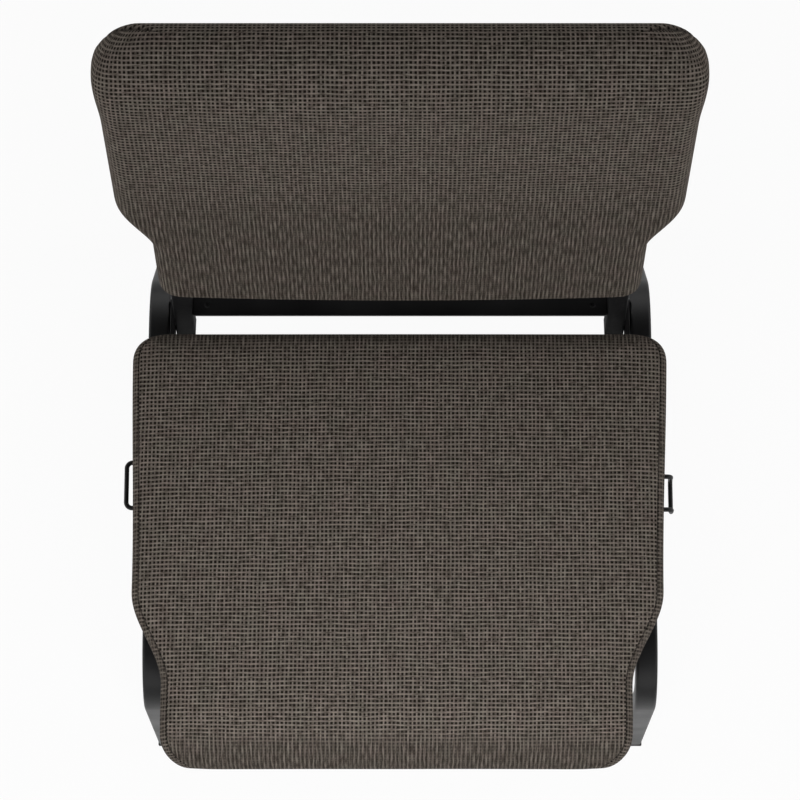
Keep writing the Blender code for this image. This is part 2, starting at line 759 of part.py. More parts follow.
def screw_profile(length):
    """A button-head screw from its tip at the top down to its head."""
    return [
        (0, length),
        (SCREW_TIP / 2, length),
        (SCREW / 2, length - SCREW_POINT),
        (SCREW / 2, 0),
        (SCREW_HEAD / 2, 0),
        (SCREW_HEAD_FACE / 2, -SCREW_HEAD_HEIGHT),
        (0, -SCREW_HEAD_HEIGHT),
    ]


def insert_profile():
    """A threaded bush from top to bottom, its bore clear of the screw."""
    bore, rim = SCREW_HOLE / 2, INSERT / 2
    return [(bore, INSERT_HEIGHT), (rim, INSERT_HEIGHT), (rim, 0), (bore, 0)]


def screw_and_insert(name, place, grip, parent):
    """A screw through a tube into its bush in a board; place is the head's seat, Z into the board."""
    seated = place @ Matrix.Translation((0, 0, -CLEARANCE))
    turned(f"{name}_screw", screw_profile(grip + SCREW_BITE), False, ZINC, parent, seated)
    bush = place @ Matrix.Translation((0, 0, grip))
    turned(f"{name}_insert", insert_profile(), True, ZINC, parent, bush)


def seat_supports():
    """Two tubes across the rails, drilled for the screws that hold the seat."""
    quarter_turn = Matrix.Rotation(math.pi / 2, 4, "Z")
    half = RAIL_INNER_X - CLEARANCE
    path = [Vector((0, -half, 0)), Vector((0, half, 0))]
    grip = SEAT_BOARD_Z + (BOARD - INSERT_HEIGHT) / 2 - (RAIL_TOP - CROSS_TUBE)
    for end, y in {"front": FRONT_CROSS_Y, "rear": REAR_CROSS_Y}.items():
        place = Matrix.Translation((0, y, CROSS_Z)) @ quarter_turn
        tube = cross_tube(f"seat_cross_tube_{end}", path, None, place)
        for side, sign in SIDES.items():
            x = sign * SEAT_SCREW_SPAN / 2
            seat_at = Matrix.Translation((x, y, RAIL_TOP - CROSS_TUBE))
            drill = rod_mesh(SCREW_HOLE, -CROSS_TUBE, 2 * CROSS_TUBE)
            combine(tube, "DIFFERENCE", drill, seat_at)
            screw_and_insert(f"seat_{end}_{side}", seat_at, grip, None)


def seat_pad():
    """Plywood, foam, fabric cover turned in under the board, and a dust cloth below."""
    holes = [
        (sign * SEAT_SCREW_SPAN / 2, y, INSERT + 2 * HOLE_FIT)
        for sign in SIDES.values()
        for y in (FRONT_CROSS_Y, REAR_CROSS_Y)
    ]
    board_front = SEAT_FRONT_Y + under_roll(CLEARANCE) + BOARD_MARGIN
    board_rear = SEAT_REAR_Y - COVER - BOARD_MARGIN
    margin = COVER + SIDE_TUCK + LOWER_EDGE + CLEARANCE
    outline = seat_outline(margin, board_front, board_rear)
    on_base = Matrix.Translation((0, 0, SEAT_BOARD_Z))
    sheet("seat_board", outline, holes, BOARD, PLYWOOD, None, on_base)
    add_object("seat_foam", seat_body(COVER + COVER_FIT, SEAT_BOARD_Z + BOARD + CLEARANCE), FOAM)
    cover = add_object("seat_cover", seat_body(0.0, SEAT_BASE), FABRIC)
    combine(cover, "DIFFERENCE", seat_body(COVER, SEAT_BASE + COVER), Matrix())
    mouth_front = board_front + COVER_TURN_IN
    turn_in = seat_outline(COVER_TURN_IN, mouth_front, SEAT_REAR_Y - COVER_TURN_IN)
    mouth = poly_curve(turn_in, True, "2D")
    mouth.fill_mode = "BOTH"
    mouth.extrude = BOARD / 2
    combine(cover, "DIFFERENCE", mesh_of_curve(mouth), Matrix.Translation((0, 0, SEAT_BASE)))
    dust = seat_outline(DUST_MARGIN, board_front, SEAT_REAR_Y - DUST_MARGIN)
    passages = [(x, y, SCREW_HOLE) for x, y, _ in holes]
    under = Matrix.Translation((0, 0, DUST_Z))
    sheet("seat_dust_cover", dust, passages, DUST_COVER, DUST_CLOTH, None, under)


def back_frame(parent):
    """Two uprights, the tube that ties them, their spacers and plugs, and the bar behind the seat."""
    middle = UPRIGHT_FRONT + UPRIGHT / 2
    slope = math.tan(BACK_RECLINE)
    foot_z = RAIL_TOP - TUBE
    low = (foot_z - BACK_FOOT_Z) / math.cos(BACK_RECLINE) + middle * slope
    path = [Vector((0, 0, low)), Vector((0, 0, UPRIGHT_TOP))]
    into_board = Matrix.Rotation(math.pi / 2, 4, "X")
    grip = UPRIGHT + CLEARANCE + (BOARD - INSERT_HEIGHT) / 2
    for side, sign in SIDES.items():
        x = sign * UPRIGHT_X
        upright = square_tube(
            f"back_upright_{side}",
            path,
            UPRIGHT,
            CROSS_TUBE_WALL,
            CROSS_TUBE_CORNER,
            parent,
            Matrix.Translation((x, middle, 0)),
        )
        for level, height in BACK_SCREW_HEIGHTS.items():
            seat_at = Matrix.Translation((x, UPRIGHT_REAR, height)) @ into_board
            drill = rod_mesh(SCREW_HOLE, -UPRIGHT, 2 * UPRIGHT)
            combine(upright, "DIFFERENCE", drill, parent.matrix_basis @ seat_at)
            screw_and_insert(f"back_{level}_{side}", seat_at, grip, parent)
        upright_plug(f"upright_plug_{side}", x, middle, low, parent)
        spacer(f"upright_spacer_{side}", sign)
    quarter_turn = Matrix.Rotation(math.pi / 2, 4, "Z")
    half = UPRIGHT_INNER - CLEARANCE
    across = [Vector((0, -half, 0)), Vector((0, half, 0))]
    tie = Matrix.Translation((0, middle, UPPER_TUBE_HEIGHT)) @ quarter_turn
    cross_tube("back_upper_tube", across, parent, tie)
    lower_bar(half)


def upright_plug(name, x, middle, low, parent):
    """A plastic plug in the lower end of an upright."""
    bore = UPRIGHT / 2 - CROSS_TUBE_WALL - CLEARANCE
    head = UPRIGHT / 2
    top = low - CLEARANCE
    lowest = (x - head, middle - head, top - PLUG_HEAD)
    rim = box_mesh(lowest, (x + head, middle + head, top))
    plug = add_object(name, rim, BLACK_PLASTIC, parent)
    stem = stem_mesh(bore, -PLUG_HEAD / 2, PLUG_DEPTH, CROSS_TUBE_CORNER)
    at = Matrix.Translation((x, middle, low))
    combine(plug, "UNION", stem, parent.matrix_basis @ at)


def back_point(depth, height):
    """World Y and Z of a point of the back's frame."""
    y = BACK_FOOT_Y + depth * math.cos(BACK_RECLINE) + height * math.sin(BACK_RECLINE)
    z = BACK_FOOT_Z - depth * math.sin(BACK_RECLINE) + height * math.cos(BACK_RECLINE)
    return y, z


def upright_y(z):
    """World Y of the uprights' front face at this world height."""
    y, level = back_point(UPRIGHT_FRONT, 0.0)
    return y + (z - level) * math.tan(BACK_RECLINE)


def spacer(name, sign):
    """The plate welded between a rail and its upright."""
    y = upright_y(RAIL_Z) + UPRIGHT / 2
    centre = Vector((sign * (UPRIGHT_OUTER + CLEARANCE + SPACER / 2), y, RAIL_Z))
    half = Vector((SPACER, SPACER_LENGTH, SPACER_HEIGHT)) / 2
    add_object(name, box_mesh(-half, half), POWDER_COAT, None, Matrix.Translation(centre))


def lower_bar(half):
    """A flat bar between the uprights with a screw hole near each end."""
    front = upright_y(BAR_TOP - BAR_THICKNESS)
    rear = front + BAR_DEPTH
    outline = [(-half, front, 0), (half, front, 0), (half, rear, 0), (-half, rear, 0)]
    hole_y = (front + rear) / 2
    hole_x = UPRIGHT_INNER - BAR_HOLE_INSET
    holes = [(sign * hole_x, hole_y, BAR_HOLE) for sign in SIDES.values()]
    place = Matrix.Translation((0, 0, BAR_TOP - BAR_THICKNESS))
    sheet("back_lower_bar", outline, holes, BAR_THICKNESS, POWDER_COAT, None, place)


def back_pad(parent):
    """Plywood against the uprights, foam over it, a rear panel, and one cover over them all."""
    upright_sheet = Matrix.Rotation(math.pi / 2, 4, "X")
    margin = COVER + BACK_BOARD_MARGIN
    low = BACK_FOOT_ROLL
    outline = back_outline(margin, low, BACK_BOARD_TOP)
    heights = BACK_SCREW_HEIGHTS.values()
    places = [(sign * UPRIGHT_X, height) for sign in SIDES.values() for height in heights]
    bushes = [(x, z, INSERT + 2 * HOLE_FIT) for x, z in places]
    at = Matrix.Translation((0, BACK_BOARD_FRONT + BOARD, 0)) @ upright_sheet
    sheet("back_board", outline, bushes, BOARD, PLYWOOD, parent, at)
    heads = [(x, z, SCREW_HEAD + 2 * HEAD_FIT) for x, z in places]
    panel_rear = UPRIGHT_REAR + CLEARANCE + REAR_PANEL
    spare = BACK_DEPTH - COVER - panel_rear
    panel_margin = margin + BACK_SIDE_TUCK + corner_loss(spare, BACK_REAR_ROUND - COVER)
    at = Matrix.Translation((0, panel_rear, 0)) @ upright_sheet
    panel = back_outline(panel_margin, low, min(BACK_BOARD_TOP, BACK_ROUND_START))
    sheet("back_rear_panel", panel, heads, REAR_PANEL, FIBREBOARD, parent, at)
    foam = add_object("back_foam", back_body(COVER + COVER_FIT), FOAM, parent)
    behind = (-PAST_ALL, BACK_BOARD_FRONT - CLEARANCE, -PAST_ALL)
    pocket = box_mesh(behind, (PAST_ALL, PAST_ALL, BACK_BOARD_TOP + CLEARANCE))
    combine(foam, "DIFFERENCE", pocket, parent.matrix_basis)
    cover = add_object("back_cover", back_body(0.0), FABRIC, parent)
    combine(cover, "DIFFERENCE", back_body(COVER), parent.matrix_basis)
    reach = UPRIGHT_OUTER + COVER_FIT
    opening = (-reach, BACK_BOARD_FRONT, -PAST_ALL)
    mouth = box_mesh(opening, (reach, UPRIGHT_REAR + COVER_FIT, BACK_FOOT_ROLL))
    combine(cover, "DIFFERENCE", mouth, parent.matrix_basis)


def build_chair():
    frames = {side: side_frame(side, sign) for side, sign in SIDES.items()}
    for side, sign in SIDES.items():
        glide(f"glide_front_{side}", sign, FRONT_FOOT_Y, -FRONT_LEG_LEAN)
        glide(f"glide_rear_{side}", sign, REAR_FOOT_Y, REAR_LEG_LEAN)
        for end, y in BUMPER_PLACES.items():
            bumper(f"stacking_bumper_{end}_{side}", y, frames[side])
    ganging(frames)
    seat_supports()
    seat_pad()
    foot = Matrix.Translation((0, BACK_FOOT_Y, BACK_FOOT_Z))
    back = add_frame("back_recline", foot @ Matrix.Rotation(-BACK_RECLINE, 4, "X"))
    back_frame(back)
    back_pad(back)


build_chair()
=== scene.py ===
"""Looks of the church chair: woven upholstery, powder-coated tube and soft studio light.

Metres, +Z up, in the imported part's frame. The chair faces -Y and stands on the floor at Z = 0.
"""

import json
import math

import bmesh
import bpy
import numpy as np
from mathutils import Matrix, Vector


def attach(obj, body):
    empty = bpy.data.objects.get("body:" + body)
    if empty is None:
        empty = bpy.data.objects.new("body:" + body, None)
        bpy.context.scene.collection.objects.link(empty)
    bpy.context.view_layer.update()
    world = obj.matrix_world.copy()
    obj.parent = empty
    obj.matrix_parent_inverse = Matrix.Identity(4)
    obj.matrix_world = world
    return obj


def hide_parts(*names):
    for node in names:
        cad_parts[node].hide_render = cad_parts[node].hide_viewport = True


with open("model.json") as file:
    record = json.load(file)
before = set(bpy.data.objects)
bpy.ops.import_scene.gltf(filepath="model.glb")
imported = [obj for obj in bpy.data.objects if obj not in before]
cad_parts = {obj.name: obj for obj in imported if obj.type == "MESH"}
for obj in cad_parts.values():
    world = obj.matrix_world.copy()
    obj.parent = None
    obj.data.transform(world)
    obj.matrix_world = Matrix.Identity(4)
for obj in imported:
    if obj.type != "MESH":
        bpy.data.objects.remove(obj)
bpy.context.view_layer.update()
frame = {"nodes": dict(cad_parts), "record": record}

SIDES = {"left": -1, "right": 1}
CLEARANCE = 0.0003

# Side frames: one bent square tube each, in a plane that leans out
TUBE = 0.022
TUBE_CORNER = 0.003
CORNER_STEPS = 4
FLAT_MARGIN = 0.0008
RAIL_X = 0.24982
RAIL_Z = 0.36056
RAIL_TOP = 0.372
SIDE_LEAN = math.radians(2.3)
BEND_RADIUS = 0.060
BEND_STEPS = 28
FRONT_FOOT_Y = -0.271
REAR_FOOT_Y = 0.324
FRONT_LEG_LEAN = math.radians(2.4)
REAR_LEG_LEAN = math.radians(25.0)
GLIDE_HEIGHT = 0.008

# Straight tubes of the seat and the back
CROSS_TUBE = 0.020
CROSS_TUBE_CORNER = 0.0025
CROSS_TUBE_Y = {"front": -0.160, "rear": 0.050}
CROSS_TUBE_Z = RAIL_TOP - CROSS_TUBE / 2
SPACER = 0.0046
UPRIGHT_X = 0.2232
CROSS_HALF = UPRIGHT_X + CROSS_TUBE / 2 + SPACER + CLEARANCE
UPRIGHT_MIDDLE = 0.0546
UPRIGHT_TOP = 0.318
UPRIGHT_FOOT_Z = RAIL_TOP - TUBE
UPPER_TUBE_DROP = 0.028
UPPER_TUBE_HEIGHT = UPRIGHT_TOP - UPPER_TUBE_DROP
UPPER_TUBE_HALF = UPRIGHT_X - CROSS_TUBE / 2 - CLEARANCE

# Ganging wires, in the side frames' leaning planes
WIRE = 0.0048
WIRE_BEND = 0.006
WIRE_BEND_STEPS = 10
WIRE_FACETS = 16
WIRE_LIFT = 0.004
LOOP_Y = -0.045
LOOP_HALF = 0.0236
LOOP_ENDS = (LOOP_Y - LOOP_HALF, LOOP_Y + LOOP_HALF)
LOOP_REACH = 0.0306
HOOK_Y = -0.053
HOOK_HALF = 0.0171
HOOK_ENDS = (HOOK_Y - HOOK_HALF, HOOK_Y + HOOK_HALF)
HOOK_REACH = 0.0286
HOOK_DROP = 0.020

# Seat pad
CLOTH_ROOM = 0.0006
SEAT_BASE = RAIL_TOP + CLOTH_ROOM + 2 * CLEARANCE
SEAT_REAR_Y = 0.100
SEAT_DEPTH = 0.436
SEAT_FRONT_Y = SEAT_REAR_Y - SEAT_DEPTH
SEAT_HEIGHT = 0.448
SEAT_PITCH = math.radians(2.5)
SEAT_HALF_WIDTH = 0.271
SEAT_DRAW = 0.007
SEAT_CROWN = 0.007
NOTCH_START = 0.171
NOTCH_Y = SEAT_FRONT_Y + NOTCH_START
NOTCH_LENGTH = 0.092
NOTCH_DEPTH = 0.039
FRONT_ROLL = 0.055
FRONT_DROP = 0.050
FRONT_UNDER = 0.032
REAR_ROLL = 0.018
SIDE_ROLL = 0.015
SIDE_ROLL_SHARE = 0.55
SIDE_TUCK = 0.004
SIDE_BELLY = 0.4
LOWER_EDGE = 0.004
SEAT_FRONT_CORNER = 0.030
SEAT_REAR_CORNER = 0.028
SEAT_SKEW = 0.009

# Back pad, in its own reclined frame: height along the pad, depth from its front face
BACK_RECLINE = math.radians(16.42)
BACK_GAP = 0.047
BACK_FOOT = (0.0, 0.1129, SEAT_HEIGHT + BACK_GAP)
BACK_HEIGHT = 0.377
BACK_HALF_WIDTH = 0.2694
BACK_LOWER_HALF_WIDTH = 0.240
BACK_DEPTH = 0.0706
BACK_TOP_DEPTH = 0.0745
BACK_CROWN = 0.005
BACK_STEP_START = 0.0815
BACK_STEP_LENGTH = 0.080
BACK_BULGE = 0.0036
BACK_BULGE_START = 0.285
BACK_BULGE_LENGTH = 0.065
BACK_TOP_ROLL = 0.057
BACK_REAR_ROLL = 0.022
BACK_TOP_CORNER = (0.068, 0.037)
BACK_FOOT_ROLL = 0.012
BACK_FOOT_CORNER = (0.020, 0.012)
BACK_SIDE_ROUND = 0.032
BACK_WIDEST = 0.040
BACK_SIDE_FULLNESS = 3.2
BACK_REAR_ROUND = 0.012
BACK_TOP_ROUND = 0.032
BACK_TOP_BLEND = 0.025
BACK_SIDE_TUCK = 0.002

# Upholstery: the pads swell under pressure, and seams draw in
PAD_SWELL = 0.002
PAD_DRAW = 0.0006
PAD_EVEN_PASSES = 10
PAD_PRESSURE = 4.0
PAD_FRAMES = 20
PAD_GRID = 0.005
PAD_COLUMNS = 48
SEAM_TURN = 30
REAR_SEAM_TURN = 40
SEAM_DEPTH = 0.0018
SEAM_HOLD = 0.5
# Painted shade beside a seam, as a share of that in the seam itself
SEAM_SHADE_BESIDE = 0.6

# Rows of points round the pads' edges, in degrees of turn and in shares of a side
FRONT_ROLL_TURNS = np.linspace(88, 4, 17)
REAR_ROLL_TURNS = np.linspace(12, 84, 7)
SHOULDER_TURNS = (8, 16, 23, 27, SEAM_TURN, 33, 37, 46, 57, 68, 79, 90)
SEAM_ROW = SHOULDER_TURNS.index(SEAM_TURN) + 1
SIDE_STOPS = (0.2, 0.4, 0.6, 0.8, 1.0)
BACK_FOOT_TURNS = np.linspace(84, 12, 6)
BACK_TOP_TURNS = np.linspace(7, 86, 13)
BACK_SIDE_TURNS = (10, 20, 30, 40, 50, 60, 70, 80, 90)
BACK_SIDE_STOPS = (0.35, 0.7)
REAR_EDGE_TURNS = (0, 20, 34, REAR_SEAM_TURN, 46, 62, 80)
REAR_SEAM_ROW = len(BACK_SIDE_TURNS + BACK_SIDE_STOPS) + REAR_EDGE_TURNS.index(REAR_SEAM_TURN) + 1

# Stitches in the seams; the least size is a share of the full one
STITCH_PITCH = 0.004
STITCH_LENGTH = 0.0028
STITCH_WIDTH = 0.0007
STITCH_LEAST = 0.85
STITCH_SEED = 3
BEAD_SIDES = 8
BEAD_RINGS = 6

# Weave: the dots' spacing across and along the cloth, and where pull draws its ribs out
WEAVE_ACROSS = 0.00403
WEAVE_ALONG = 0.0043
SEAT_LIP_Y = -0.298
SEAT_END_Y = 0.074
SEAT_PULL_LENGTH = 0.026
BAND_PULL = 0.6
BACK_PULL_HEIGHT = 0.240
BACK_PULL_LENGTH = 0.110

# Weave in a cell of one dot, in shares of the cell: its dots, the furrows of pulled cloth, its threads
DOT_SQUARENESS = 3.0
DOT_UNEVENNESS = 0.06
DOT_CORE = 0.20
DOT_RIM = 0.43
FURROW_CORE = 0.12
FURROW_RIM = 0.40
FURROW_SHARE = 0.52
PULLED_DOT_SHARE = 0.2
THREAD_EDGE = 0.24
THREAD_FACE = 0.38

# Weave's colours, and sizes across and along the cloth of what varies them
DOT_COLOUR = "#15110E"
THREAD_TONES = ((0.39, "#443E39"), (0.70, "#7F7771"))
CROSSWAYS_GAIN = 0.09
LENGTHWAYS_GAIN = 0.02
CROSSWAYS_FLECK = (0.009, 0.0014)
LENGTHWAYS_FLECK = (0.0014, 0.016)
WANDER_LENGTH = 0.030
WANDER = (0.0010, 0.0018)
PATCH_SIZE = 0.022
PATCH_TINTS = ((0.32, "#FFFAF7"), (0.68, "#F9FBF5"))
THREAD_RELIEF = 0.0006
# Painted shade in the seams: where it starts, and how much of the colour is left in the seam
SEAM_SHADE_START = 0.1
SEAM_SHADE_LIGHT = 0.35

# Dust cloth under the seat, and its staples
CLOTH_INSET = 0.0124
CLOTH_FRONT_Y = -0.2825
CLOTH_REAR_Y = 0.088
CLOTH_TOP = SEAT_BASE - CLEARANCE
CLOTH_THICKNESS = 0.0004
CLOTH_SAG = 0.0025
CLOTH_GRID = 0.006
CLOTH_EASE = 0.05
CLOTH_TAUT_SHARE = 0.8
NEARLY_NOTHING = 1e-9
STAPLE_INSET = 0.007
STAPLE_PITCH = 0.045
STAPLE_WIDTH = 0.011
STAPLE_WIRE = 0.0006
STAPLE_LEG = 0.0015
STAPLE_BEND_STEPS = 2
STAPLE_LEAST = 0.95
STAPLE_SEED = 5

# Small fittings
MOULDED_ROUND = 0.0012
STEEL_ROUND = 0.0005
ROUND_SEGMENTS = 3
MERGE_DISTANCE = 1e-6
FLAT_ANGLE = math.radians(1)
SHARP_ANGLE = math.radians(30)
TURNED_SHARP_ANGLE = math.radians(35)
SCREW_X = 0.150
SCREW_HEAD = 0.011
SCREW_HEAD_HEIGHT = 0.003
SCREW_LOW = RAIL_TOP - CROSS_TUBE - CLEARANCE - SCREW_HEAD_HEIGHT
SCREW_TOP = 0.3844
SCREW_SHANK = 0.005
SCREW_SOCKET = 0.004
SCREW_SOCKET_DEPTH = 0.0018
SCREW_FACE_SHARE = 0.6
SCREW_DOME_SHARE = 0.7
SCREW_DOME_TURNS = (20, 40, 60, 80)
SCREW_POINT = 0.0006
SCREW_POINT_SHARE = 0.75
SCREW_FACETS = 36
BAR_RISE = 0.020
BAR_THICKNESS = 0.004
BAR_TOP = RAIL_TOP + BAR_RISE
BAR_LOW = BAR_TOP - BAR_THICKNESS
BAR_MIDDLE_Y = 0.1389
BAR_HOLE = 0.0058
BAR_HOLE_INSET = 0.0147
BAR_HOLE_X = UPRIGHT_X - CROSS_TUBE / 2 - BAR_HOLE_INSET

# Bar hole plugs, from the rim below to the dish above: share of the hole, and height
PLUG_FACETS = 24
PLUG_OUTLINE = (
    (0.90, BAR_LOW),
    (0.97, BAR_LOW + 0.0005),
    (0.97, BAR_TOP - 0.0004),
    (0.88, BAR_TOP - 0.0001),
    (0.72, BAR_TOP - 0.0006),
    (0.55, BAR_TOP - 0.0022),
    (0.20, BAR_TOP - 0.0025),
)

# Welds, laid as overlapping ripples
WELD_SPACING = 0.0013
WELD_STRETCH = 1.8
WELD_REACH = 0.0019
WELD_LEAST = 0.8
WELD_SEED = 7
WELD_CORNER = 0.003
WELD_CORNER_STEPS = 3
WELD_RISE_SHARE = 0.7
BAR_WELD_SHARE = 0.8
WIRE_WELD_TURNS = np.linspace(0, 330, 12)
SPACER_Y = (0.1098, 0.1498)
SPACER_Z = (0.3536, 0.3676)

# Finishes: sizes of clouds, grain and plies, and where the tones lie on their ramps
CLOUD_SIZE = 0.060
GRAIN_STOPS = (0.35, 0.65)
GRAIN_RELIEF = 0.0003
PLY_PAIR = 0.0034
WOOD_GRAIN_LENGTH = 0.120
WOOD_GRAIN_WIDTH = 0.004
VENEER_TONES = ((0.25, "#A27C4C"), (0.75, "#D0B180"))

# Studio
CAMERA_LENS = 117.0
CAMERA_SENSOR = 36.0
CAMERA_PLACE = (0.0, -0.5136, 2.991)
CAMERA_TILT = math.radians(12.0)
LAMP_AIM = (0.0, -0.15, 0.45)
LAMPS = {
    "front_softbox": ((0.0, -0.85, 1.15), 0.6, 8.0),
    "rear_softbox": ((0.0, 1.35, 3.20), 1.4, 15.5),
    "left_softbox": ((-2.2, 0.1, 1.00), 1.2, 18.0),
    "right_softbox": ((2.2, 0.1, 1.00), 1.2, 18.0),
}
WHITE = (1.0, 1.0, 1.0, 1.0)
WORLD_FILL = 0.13
WALL_RISE = 0.35
ZENITH_RISE = 0.85
ZENITH_GLOW = 0.10
FLOOR_REACH = 30.0
FLOOR_LIT = "#BCBCBC"
FLOOR_PALE = "#F4F4F4"
FLOOR_GLOW = 0.93
FLOOR_MIRRORED = 0.04


def linear(code):
    """An sRGB hex colour as linear RGBA."""
    parts = [int(code[k : k + 2], 16) / 255 for k in (1, 3, 5)]
    return (*[c / 12.92 if c <= 0.04045 else ((c + 0.055) / 1.055) ** 2.4 for c in parts], 1.0)


def add_node(tree, kind, inputs=None, stops=(), **settings):
    """Adds a node: settings, a colour ramp's stops, and inputs as values or as links from sockets."""
    made = tree.nodes.new(kind)
    for name, value in settings.items():
        setattr(made, name, value)
    for k, (position, code) in enumerate(stops):
        made.color_ramp.elements[k].position = position
        made.color_ramp.elements[k].color = linear(code)
    for name, value in (inputs or {}).items():
        if isinstance(value, bpy.types.NodeSocket):
            tree.links.new(value, made.inputs[name])
        else:
            made.inputs[name].default_value = value
    return made


def new_material(name):
    """An empty material, its tree and its shader."""
    material = bpy.data.materials.new(name)
    material.use_nodes = True
    tree = material.node_tree
    return material, tree, tree.nodes["Principled BSDF"]


def smooth_step(t):
    """From 0 to 1 as t does, easing in and out."""
    t = min(max(t, 0.0), 1.0)
    return t * t * (3 - 2 * t)


def corner_loss(distance, across, along=None):
    """How far a rounded corner stands in from the side, this far from the end that it runs into."""
    rest = 1 - min(max(distance / (along or across), 0.0), 1.0)
    return across * (1 - math.sqrt(1 - rest**2))


def add_piece(name, mesh, material, slot, *nodes):
    """A finished piece of the chair in place of these nodes."""
    piece = bpy.data.objects.new(name, mesh)
    bpy.context.scene.collection.objects.link(piece)
    piece.data.materials.clear()
    piece.data.materials.append(material)
    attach(piece, "root")
    if nodes:
        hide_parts(*nodes)
    return piece


def settled(name, mesh, finish):
    """The plain mesh that an object gives once finish has put its modifiers on it."""
    piece = bpy.data.objects.new(name, mesh)
    bpy.context.scene.collection.objects.link(piece)
    finish(piece)
    graph = bpy.context.evaluated_depsgraph_get()
    result = bpy.data.meshes.new_from_object(piece.evaluated_get(graph))
    bpy.data.objects.remove(piece)
    return result


def points_of(mesh, what="co"):
    """A mesh's points, or their normals, as an array."""
    values = np.zeros(len(mesh.vertices) * 3, np.float32)
    mesh.vertices.foreach_get(what, values)
    return values.reshape(-1, 3).astype(float)


def skin(shape, rings, closed=True):
    """Faces between neighbouring rings, or rows, that have as many points each."""
    for one, two in zip(rings, rings[1:]):
        for k in range(len(one) if closed else len(one) - 1):
            n = (k + 1) % len(one)
            shape.faces.new((one[k], one[n], two[n], two[k]))


def finished_mesh(name, shape, flat=()):
    """A bmesh as a mesh, shaded smooth apart from these flat faces."""
    for face in shape.faces:
        face.smooth = face not in flat
    mesh = bpy.data.meshes.new(name)
    shape.to_mesh(mesh)
    shape.free()
    return mesh


# Tubes and wires


def bent_path(corners, radius, steps):
    """A path through these corners with each inner corner bent to a radius."""
    path = [Vector(corners[0])]
    for before, corner, after in zip(corners, corners[1:], corners[2:]):
        corner = Vector(corner)
        back = (Vector(before) - corner).normalized()
        ahead = (Vector(after) - corner).normalized()
        half = back.angle(ahead) / 2
        middle = corner + (back + ahead).normalized() * (radius / math.sin(half))
        start = corner + back * (radius / math.tan(half)) - middle
        axis = ahead.cross(back)
        for k in range(steps + 1):
            turn = Matrix.Rotation((math.pi - 2 * half) * k / steps, 3, axis)
            path.append(middle + turn @ start)
    path.append(Vector(corners[-1]))
    return path


def square_profile(side, corner):
    """A rounded square, with points near each corner that keep its flats flat."""
    flat = side / 2 - corner
    points = []
    for quarter in range(4):
        turn = quarter * math.pi / 2
        arc = [(flat + corner, flat - FLAT_MARGIN)]
        for k in range(CORNER_STEPS + 1):
            angle = k * math.pi / 2 / CORNER_STEPS
            arc.append((flat + corner * math.cos(angle), flat + corner * math.sin(angle)))
        arc.append((flat - FLAT_MARGIN, flat + corner))
        cos, sin = math.cos(turn), math.sin(turn)
        points += [(x * cos - y * sin, x * sin + y * cos) for x, y in arc]
    return points


def round_profile(diameter):
    """A round wire's outline."""
    turns = [k * math.tau / WIRE_FACETS for k in range(WIRE_FACETS)]
    return [(math.cos(a) * diameter / 2, math.sin(a) * diameter / 2) for a in turns]


def sweep(name, path, profile, place, across=(1, 0, 0)):
    """A closed tube of this profile along a path; the profile's first axis starts across it."""
    shape = bmesh.new()
    rings = []
    side = Vector(across)
    for i, point in enumerate(path):
        before, after = path[max(i - 1, 0)], path[min(i + 1, len(path) - 1)]
        into, out = (point - before).normalized(), (after - point).normalized()
        ahead = (into + out).normalized()
        side = (side - ahead * side.dot(ahead)).normalized()
        up = ahead.cross(side)
        rings.append([shape.verts.new(point + side * x + up * y) for x, y in profile])
    skin(shape, rings)
    caps = [shape.faces.new(list(reversed(rings[0]))), shape.faces.new(rings[-1])]
    bmesh.ops.recalc_face_normals(shape, faces=shape.faces)
    for cap in caps:
        for edge in cap.edges:
            edge.smooth = False
    bmesh.ops.transform(shape, matrix=place, verts=shape.verts)
    return finished_mesh(name, shape, caps)


def side_plane(sign):
    """Where the leaning plane of one side frame is, with the rail's middle as origin."""
    lean = Matrix.Rotation(-sign * SIDE_LEAN, 4, "Y")
    return Matrix.Translation((sign * RAIL_X, 0, RAIL_Z)) @ lean


def side_frame_path():
    """The middle line of one side's tube, from the front leg's end to the rear leg's end."""
    run = RAIL_Z / math.cos(SIDE_LEAN)
    front = Vector((0, FRONT_FOOT_Y + run * math.tan(FRONT_LEG_LEAN), 0))
    rear = Vector((0, REAR_FOOT_Y - run * math.tan(REAR_LEG_LEAN), 0))
    front_foot = Vector((0, FRONT_FOOT_Y, -run))
    rear_foot = Vector((0, REAR_FOOT_Y, -run))
    share = 1 - GLIDE_HEIGHT / RAIL_Z
    corners = [front.lerp(front_foot, share), front, rear, rear.lerp(rear_foot, share)]
    return bent_path(corners, BEND_RADIUS, BEND_STEPS)


def back_place():
    """The back's own frame: Z along its height, Y from its front face to its rear."""
    return Matrix.Translation(BACK_FOOT) @ Matrix.Rotation(-BACK_RECLINE, 4, "X")


